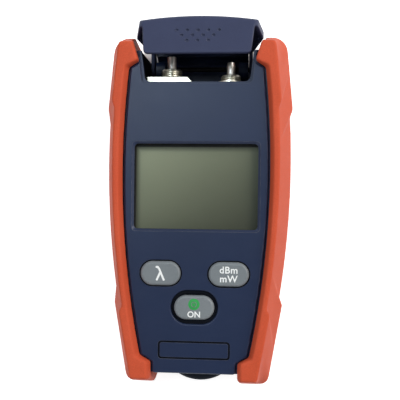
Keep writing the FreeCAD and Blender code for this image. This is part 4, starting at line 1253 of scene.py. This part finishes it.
@dataclass
class Display:
    """Display stack: window lip, clear lens, foam gasket, film and its holder, with the film's border and its
    painted shadow.

    Attributes:
        left: Width of the dark border at the left, widened as painted shadow.
        right: Width of the dark border at the right.
        upper: Width of the dark border at the top, widened as painted shadow.
        lower: Width of the dark border at the bottom.
        margin: Strip of bare film round that border.
        border_corner: Radius of the border's outer corners.
        border_lift: Height of the border's ink over the film.
        border_thick: Thickness of that ink.
        light: Colour of the film at the light corner of its painted reflection.
        dark: Colour of the film at the dark corner of its painted reflection.
        reach: Distance over which the film's painted reflection changes.
        shown: Half-width and half-height of the film that shows.
        opening: Width and height of the opening at the face.
        corner: Radius of its corners.
        slope: Width of the sloping lip inside the opening.
        face: Height at which the lip starts.
        fall: How far the lip falls.
        lip_thick: Thickness of the lip.
    """

    left: float = 1.20 * MM
    right: float = 0.70 * MM
    upper: float = 2.05 * MM
    lower: float = 0.70 * MM
    margin: float = 0.1 * MM
    border_corner: float = 0.4 * MM
    border_lift: float = 0.01 * MM
    border_thick: float = 0.05 * MM
    light: Colour = (0.268, 0.300, 0.198)
    dark: Colour = (0.042, 0.047, 0.028)
    reach: float = 32.0 * MM
    shown: Pair = (24.0 * MM, 15.7 * MM)
    opening: Pair = (49.9 * MM, 34.9 * MM)
    corner: float = 1.6 * MM
    slope: float = 0.90 * MM
    face: float = 32.99 * MM
    fall: float = 0.72 * MM
    lip_thick: float = 0.08 * MM

    def border(self) -> bpy.types.Object:
        """Dark border printed on the film, wider at the top and left as painted shadow of the window's edge.

        Returns:
            The border, lying on the film.
        """
        low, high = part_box("lcd_glass")
        wide, tall = (high[side] - low[side] - 2 * self.margin for side in (0, 1))
        centre = middle("lcd_glass")
        return frame_ring("display_border_and_shadow", (centre.x, centre.y, high[2] + self.border_lift), (wide, tall),
                          self.border_corner, (wide - self.left - self.right, tall - self.upper - self.lower),
                          ((self.left - self.right) / 2, (self.lower - self.upper) / 2),
                          thick=self.border_thick)

    def lip(self) -> bpy.types.Object:
        """Sloping lip round the window.

        Returns:
            The lip, starting flush with the face.
        """
        centre = middle("display_window")
        inner = tuple(side - 2 * self.slope for side in self.opening)
        return frame_ring("window_lip", (centre.x, centre.y, self.face - self.lip_thick), self.opening,
                          self.corner, inner, fall=self.fall, thick=self.lip_thick)

    def build(self) -> None:
        """Dress the stack, print the border with its painted shadow and fit the lip."""
        # The film's material paints the window's reflection as a diagonal tone and the window edge's shadow
        # along its left and top.
        film = DisplayFilm("display_film", self.light, self.dark, tuple(middle("lcd_glass")), self.reach,
                           self.shown)
        for finish, name in ((film, "lcd_glass"), (LENS, "display_window"), (GASKET, "window_gasket"),
                             (HOLDER, "lcd_holder")):
            dress_nodes(finish, name)
        settle(self.border(), Body.HOUSING, BORDER_AND_SHADOW_INK.material())
        settle(self.lip(), Body.HOUSING, NAVY.material(), 20.0)


class Mark(Enum):
    """What is printed on a key."""

    WAVELENGTH = "wavelength"
    UNITS = "units"
    POWER = "power"


@dataclass(frozen=True)
class Word:
    """A printed word.

    Attributes:
        name: Name of the piece.
        letters: What it says.
        rise: How far it lies above the key's middle.
        height: Font size.
        spread: Space between letters, 1 being plain.
    """

    name: str
    letters: str
    rise: float
    height: float
    spread: float


@dataclass
class Key:
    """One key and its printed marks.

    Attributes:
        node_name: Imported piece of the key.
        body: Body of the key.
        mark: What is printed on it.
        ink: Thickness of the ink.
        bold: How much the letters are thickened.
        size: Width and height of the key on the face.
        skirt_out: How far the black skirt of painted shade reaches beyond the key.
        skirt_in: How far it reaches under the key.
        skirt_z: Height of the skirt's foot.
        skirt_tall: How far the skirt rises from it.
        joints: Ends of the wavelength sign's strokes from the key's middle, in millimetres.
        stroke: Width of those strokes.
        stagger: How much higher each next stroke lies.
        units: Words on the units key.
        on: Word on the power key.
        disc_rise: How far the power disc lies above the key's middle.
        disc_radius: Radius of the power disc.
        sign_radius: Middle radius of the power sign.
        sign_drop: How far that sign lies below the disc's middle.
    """

    node_name: str
    body: Body
    mark: Mark
    ink: float = 0.08 * MM
    bold: float = 0.07 * MM
    size: Pair = (15.6 * MM, 9.4 * MM)
    skirt_out: float = 0.38 * MM
    skirt_in: float = 0.1 * MM
    skirt_z: float = 30.8 * MM
    skirt_tall: float = 1.5 * MM
    joints: tuple[tuple[Pair, Pair], ...] = (((-1.45, 2.48), (-1.00, 2.50)), ((-1.00, 2.50), (-0.45, 1.80)),
                                             ((-0.45, 1.80), (1.35, -2.40)), ((-0.02, 0.45), (-1.30, -2.40)))
    stroke: float = 0.78 * MM
    stagger: float = 0.004 * MM
    units: tuple[Word, ...] = (Word("units_upper", "dBm", 1.75 * MM, 3.7 * MM, 1.08),
                               Word("units_lower", "mW", -1.65 * MM, 3.7 * MM, 1.08))
    on: Word = Word("power_word", "ON", -2.55 * MM, 3.2 * MM, 1.02)
    disc_rise: float = 1.35 * MM
    disc_radius: float = 2.2 * MM
    sign_radius: float = 0.95 * MM
    sign_drop: float = 0.1 * MM

    @property
    def top(self) -> Vector:
        """Middle of the key's top, a hair under the surface."""
        centre = middle(self.node_name)
        return Vector((centre.x, centre.y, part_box(self.node_name)[1][2] - HAIR))

    def skirt(self, black: bpy.types.Material) -> None:
        """Black skirt in the gap round the key, painting the shade in that gap.

        Args:
            black: Material of that painted shade.
        """
        centre = middle(self.node_name)
        outer = tuple(side + 2 * self.skirt_out for side in self.size)
        inner = tuple(side - 2 * self.skirt_in for side in self.size)
        # Black ring that paints the shade in the gap round the key.
        ring = frame_ring(self.body.value + "_skirt", (centre.x, centre.y, self.skirt_z), outer,
                          outer[1] / 2 - HAIR, inner, thick=self.skirt_tall, segments=12)
        settle(ring, self.body, black)

    def wavelength_sign(self) -> bpy.types.Object:
        """Bold lambda in a few strokes.

        Returns:
            The sign.
        """
        x, y, z = self.top
        strokes = []
        for number, ends in enumerate(self.joints):
            start, end = ((x + across * MM, y + along * MM) for across, along in ends)
            strokes.append(printed_stroke(f"sign_stroke_{number}", start, end, z + number * self.stagger,
                                          self.stroke, self.ink))
        return join("wavelength_mark", strokes)

    def letters(self, word: Word) -> bpy.types.Object:
        """Print a word on the key.

        Args:
            word: The word.

        Returns:
            Its letters.
        """
        x, y, z = self.top
        return lettering(word.name, word.letters, (x, y + word.rise, z), word.height, self.ink, word.spread,
                         self.bold)

    def disc(self, centre: Vector) -> bpy.types.Object:
        """Printed round patch with a soft rim."""
        steps = ((0.7 * self.ink, self.disc_radius), (0.3 * self.ink, 0.97 * self.disc_radius))
        return turned("power_disc", tuple(centre), self.disc_radius, steps, Axis.Z, 64)

    def power_sign(self, centre: Vector) -> bpy.types.Object:
        """Open ring with an upright bar, the usual power sign.

        Args:
            centre: Middle of the ring.

        Returns:
            The sign.
        """
        radius = self.sign_radius
        width, gap, rise, length = 0.26 * radius, 0.30 * radius, 0.75 * radius, 0.95 * radius
        clear_selection()
        bpy.ops.mesh.primitive_circle_add(vertices=40, radius=radius + width / 2, fill_type="NGON",
                                          location=centre)
        ring = bpy.context.object
        with editing(ring):
            bpy.ops.mesh.inset(thickness=width)
            bpy.ops.mesh.delete(type="FACE")
            pick_faces(ring, lambda face: abs(face.calc_center_median().x - centre.x) < gap
                       and face.calc_center_median().y > centre.y)
            bpy.ops.mesh.delete(type="FACE")
            bpy.ops.mesh.select_all(action="SELECT")
            bpy.ops.mesh.extrude_region_move(TRANSFORM_OT_translate={"value": (0.0, 0.0, self.ink)})
        upright = block((centre.x, centre.y + rise, centre.z + self.ink / 2), (width, length, self.ink))
        with editing(upright):
            bpy.ops.mesh.bevel(offset=0.04 * MM, segments=2)
        return join("power_sign", [ring, upright])

    def build(self, key_finish: bpy.types.Material, white: bpy.types.Material, green: bpy.types.Material,
              black: bpy.types.Material) -> None:
        """Dress the key, fit its skirt of painted shade and print its marks.

        Args:
            key_finish: Material of the key.
            white: Material of the white ink.
            green: Material of the green ink.
            black: Material of the skirt of painted shade.
        """
        dress(node(self.node_name), key_finish)
        self.skirt(black)
        marks = []
        if self.mark is Mark.WAVELENGTH:
            marks.append((self.wavelength_sign(), white))
        elif self.mark is Mark.UNITS:
            marks.append((join("units_mark", [self.letters(word) for word in self.units]), white))
        else:
            centre = self.top + Vector((0.0, self.disc_rise, 0.0))
            marks.append((self.disc(centre), green))
            sign = self.power_sign(centre + Vector((0.0, -self.sign_drop, 0.9 * self.ink)))
            marks.append((sign, key_finish))
            marks.append((self.letters(self.on), white))
        for mark, ink in marks:
            settle(mark, self.body, ink)


@dataclass
class Keypad:
    """Three keys, painted shade on the floor of the power key's well, their silicone mat and the domes below.

    Attributes:
        well: Width and height of the power key's well.
        well_floor: Height of its floor.
        lining: Thickness of the dark ring of painted shade on that floor.
        hole: Width and height of a key's hole.
    """

    well: Pair = (18.1 * MM, 12.9 * MM)
    well_floor: float = 32.0 * MM
    lining: float = 0.12 * MM
    hole: Pair = (16.7 * MM, 10.5 * MM)

    def well_shade_ring(self) -> bpy.types.Object:
        """Dark ring on the floor of the power key's well, painting the shade in that well.

        Returns:
            The ring.
        """
        centre = middle("key_power")
        # Dark ring that paints the shade on the well's floor.
        return frame_ring("power_well_shade_ring", (centre.x, centre.y, self.well_floor), self.well,
                          self.well[1] / 2 - HAIR, self.hole, thick=self.lining, segments=12)

    def build(self) -> None:
        """Dress the keypad, paint shade on the well's floor and print the keys."""
        finish, white, green = KEY_GREY.material(), INK_WHITE.material(), INK_GREEN.material()
        black = SHADOW_BLACK.material()
        settle(self.well_shade_ring(), Body.HOUSING, black)
        for body, mark in ((Body.WAVELENGTH, Mark.WAVELENGTH), (Body.UNITS, Mark.UNITS),
                           (Body.POWER, Mark.POWER)):
            Key("key_" + mark.value, body, mark).build(finish, white, green, black)
        dress_nodes(SILICONE, "keypad_mat")
        dress_nodes(STEEL, "dome_switches")


@dataclass
class Electronics:
    """Circuit board with its screws."""

    def build(self) -> None:
        """Dress the board and its screws."""
        dress_nodes(SOLDER_MASK, "main_board")
        dress_nodes(STEEL, "board_screws")


@dataclass
class BatteryBay:
    """Battery door, two cells, springs and contacts.

    Attributes:
        band: Colour of the long band on a cell's jacket.
        ring: Colour of its short band.
    """

    band: Colour = (0.020, 0.022, 0.026)
    ring: Colour = (0.42, 0.30, 0.10)

    def build(self) -> None:
        """Dress the bay."""
        dress_nodes(DOOR_NAVY, "battery_door")
        for name in ("cell_left", "cell_right"):
            low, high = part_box(name)
            dress_nodes(CellJacket(name + "_jacket", self.band, self.ring, low[1], high[1]), name)
        dress_nodes(SPRING, "spring_left", "spring_right", "contact_low", "contact_high")


@dataclass
class TiltStand:
    """Folding stand on the back."""

    def build(self) -> None:
        """Dress the stand."""
        dress_nodes(STAND_BLACK, "tilt_stand")


# ------------------------------------------------------------------- studio


@dataclass(frozen=True)
class Lamp:
    """Rectangular soft light.

    Attributes:
        name: Name of the light.
        place: Its place.
        size: Width and height.
        watts: Power.
        tint: Colour.
    """

    name: str
    place: Place
    size: Pair
    watts: float
    tint: Colour = (1.0, 1.0, 1.0)

    def hang(self, target: Place) -> None:
        """Put the light in the scene.

        Args:
            target: Point that it faces.
        """
        data = bpy.data.lights.new(self.name, "AREA")
        data.shape = "RECTANGLE"
        data.size, data.size_y = self.size
        data.energy = self.watts
        data.color = self.tint
        light = bpy.data.objects.new(self.name, data)
        bpy.context.scene.collection.objects.link(light)
        light.location = self.place
        light.rotation_euler = (Vector(target) - Vector(self.place)).to_track_quat("-Z", "Y").to_euler()


@dataclass
class Studio:
    """Pale floor, soft lights, world and camera.

    Attributes:
        floor_half: Half-width of the floor.
        floor_gap: How far the floor lies below the object.
        glow: How bright the floor is to the eye, over its lit colour.
        sides: X over which the glow comes in, left and right of the object's painted shadow.
        ports_end: Y over which it comes in beyond the ports.
        low_end: Y over which it comes in beyond the other end.
        ambient: Strength of the surroundings' light on the object.
        ceiling: Share of it straight overhead.
        ceiling_rim: Heights of the sky between which the ceiling dims.
        lamps: A cool light from above, a strong warm one from the right and a weak one from below.
        lit: Point that the lamps face.
        eye: Place of the camera.
        aim: Point that the camera looks at.
        roll: Turn of the camera about its axis, in degrees.
        focal: Focal length on a 36 mm sensor, in millimetres.
    """

    floor_half: float = 4.0
    floor_gap: float = 0.02 * MM
    glow: float = 0.78
    sides: Pair = (25.6 * MM, 26.6 * MM)
    ports_end: Pair = (68.0 * MM, 69.5 * MM)
    low_end: Pair = (-70.0 * MM, -69.0 * MM)
    ambient: float = 0.31
    ceiling: float = 0.06
    ceiling_rim: Pair = (0.84, 0.93)
    lamps: tuple[Lamp, ...] = (Lamp("upper_light", (-0.22, 0.32, 0.95), (0.36, 0.36), 3.6, (0.80, 0.92, 1.0)),
                               Lamp("side_light", (0.64, 0.38, 0.60), (0.5, 0.6), 6.4, (1.0, 0.96, 0.90)),
                               Lamp("low_light", (-0.5, -0.7, 0.4), (0.5, 0.4), 0.8))
    lit: Place = (0.0, 0.0, 0.02)
    eye: Place = (0.0250, 0.0041, 0.312)
    aim: Place = (0.0018, 0.0041, 0.033)
    roll: float = 0.65
    focal: float = 65.3

    def floor_material(self) -> bpy.types.Material:
        """White floor that keeps a faint shadow, and a painted shadow under the object where its glow is cut
        out.

        Returns:
            A material that glows for the eye alone, and not under the object, where the missing glow paints a
            shadow.
        """
        graph = Graph("studio_floor")
        place = graph.coordinates()
        tone = graph.spread(graph.noise(place, 14.0, 3.0), 0.3, 0.7, 0.0, 1.0)
        paper = graph.blend(tone, (0.80, 0.80, 0.80), (0.83, 0.83, 0.83))
        parts = graph.add("SeparateXYZ", Vector=place)
        # The glow fades out over the object's footprint: a painted shadow that darkens the floor seen through
        # gaps.
        across = graph.spread(graph.math("ABSOLUTE", parts.outputs["X"]), *self.sides, 0.0, 1.0)
        above = graph.spread(parts.outputs["Y"], *self.ports_end, 0.0, 1.0)
        below = graph.spread(parts.outputs["Y"], *self.low_end, 1.0, 0.0)
        clear = graph.math("MAXIMUM", across, graph.math("MAXIMUM", above, below))
        plain = graph.add("BsdfDiffuse", Color=paper)
        strength = graph.math("MULTIPLY", graph.math("MULTIPLY", graph.seen(), clear), self.glow)
        glow = graph.add("Emission", Color=WHITE, Strength=strength)
        both = graph.add("AddShader")
        graph.feed(both.inputs[0], plain.outputs[0])
        graph.feed(both.inputs[1], glow.outputs[0])
        return graph.finish(both)

    def floor(self) -> None:
        """Lay the floor under the flat back, level with its lowest point."""
        clear_selection()
        bpy.ops.mesh.primitive_plane_add(size=2 * self.floor_half,
                                         location=(0.0, 0.0, CAD_BOX[0][2] - self.floor_gap))
        ground = bpy.context.object
        ground.name = "studio_ground"
        with editing(ground):
            bpy.ops.mesh.subdivide(number_cuts=4)
        ground.data.materials.append(self.floor_material())

    def world(self) -> None:
        """Soft surroundings, white to the eye, below a dim ceiling."""
        graph = Graph("studio_world", world=True)
        strength = graph.spread(graph.seen(), 0.0, 1.0, self.ambient, 1.0)
        sky = graph.add("SeparateXYZ", Vector=graph.add("TexCoord").outputs["Generated"])
        ceiling = graph.spread(sky.outputs["Z"], *self.ceiling_rim, 1.0, self.ceiling, smooth=True)
        level = graph.math("MULTIPLY", strength, ceiling)
        bpy.context.scene.world = graph.finish(graph.add("Background", Color=WHITE, Strength=level))

    def camera(self) -> None:
        """Camera almost straight above the face, a little to its right."""
        data = bpy.data.cameras.new("studio_camera")
        data.sensor_width = 36.0
        data.lens = self.focal
        data.clip_start = 0.01
        camera = bpy.data.objects.new("studio_camera", data)
        bpy.context.scene.collection.objects.link(camera)
        eye, aim = Vector(self.eye), Vector(self.aim)
        back = (eye - aim).normalized()
        right = Vector((0.0, 1.0, 0.0)).cross(back).normalized()
        up = back.cross(right)
        basis = Matrix((right, up, back)).transposed()
        turn = Matrix.Rotation(math.radians(self.roll), 3, "Z")
        camera.matrix_world = Matrix.Translation(eye) @ (basis @ turn).to_4x4()
        bpy.context.scene.camera = camera

    def build(self) -> None:
        """Set the whole studio up."""
        self.floor()
        self.world()
        for lamp in self.lamps:
            lamp.hang(self.lit)
        self.camera()
        bpy.context.scene.view_settings.view_transform = "Standard"


def main() -> None:
    """Build every sub-assembly in order, then the studio."""
    logging.basicConfig(level=logging.INFO, format="%(name)s: %(message)s")
    clear_selection()
    for part in (Case(), DustCover(), FibrePorts(), Display(), Keypad(), Electronics(), BatteryBay(),
                 TiltStand()):
        LOG.info("building %s", type(part).__name__)
        part.build()
    Studio().build()


if __name__ == "__main__":
    main()
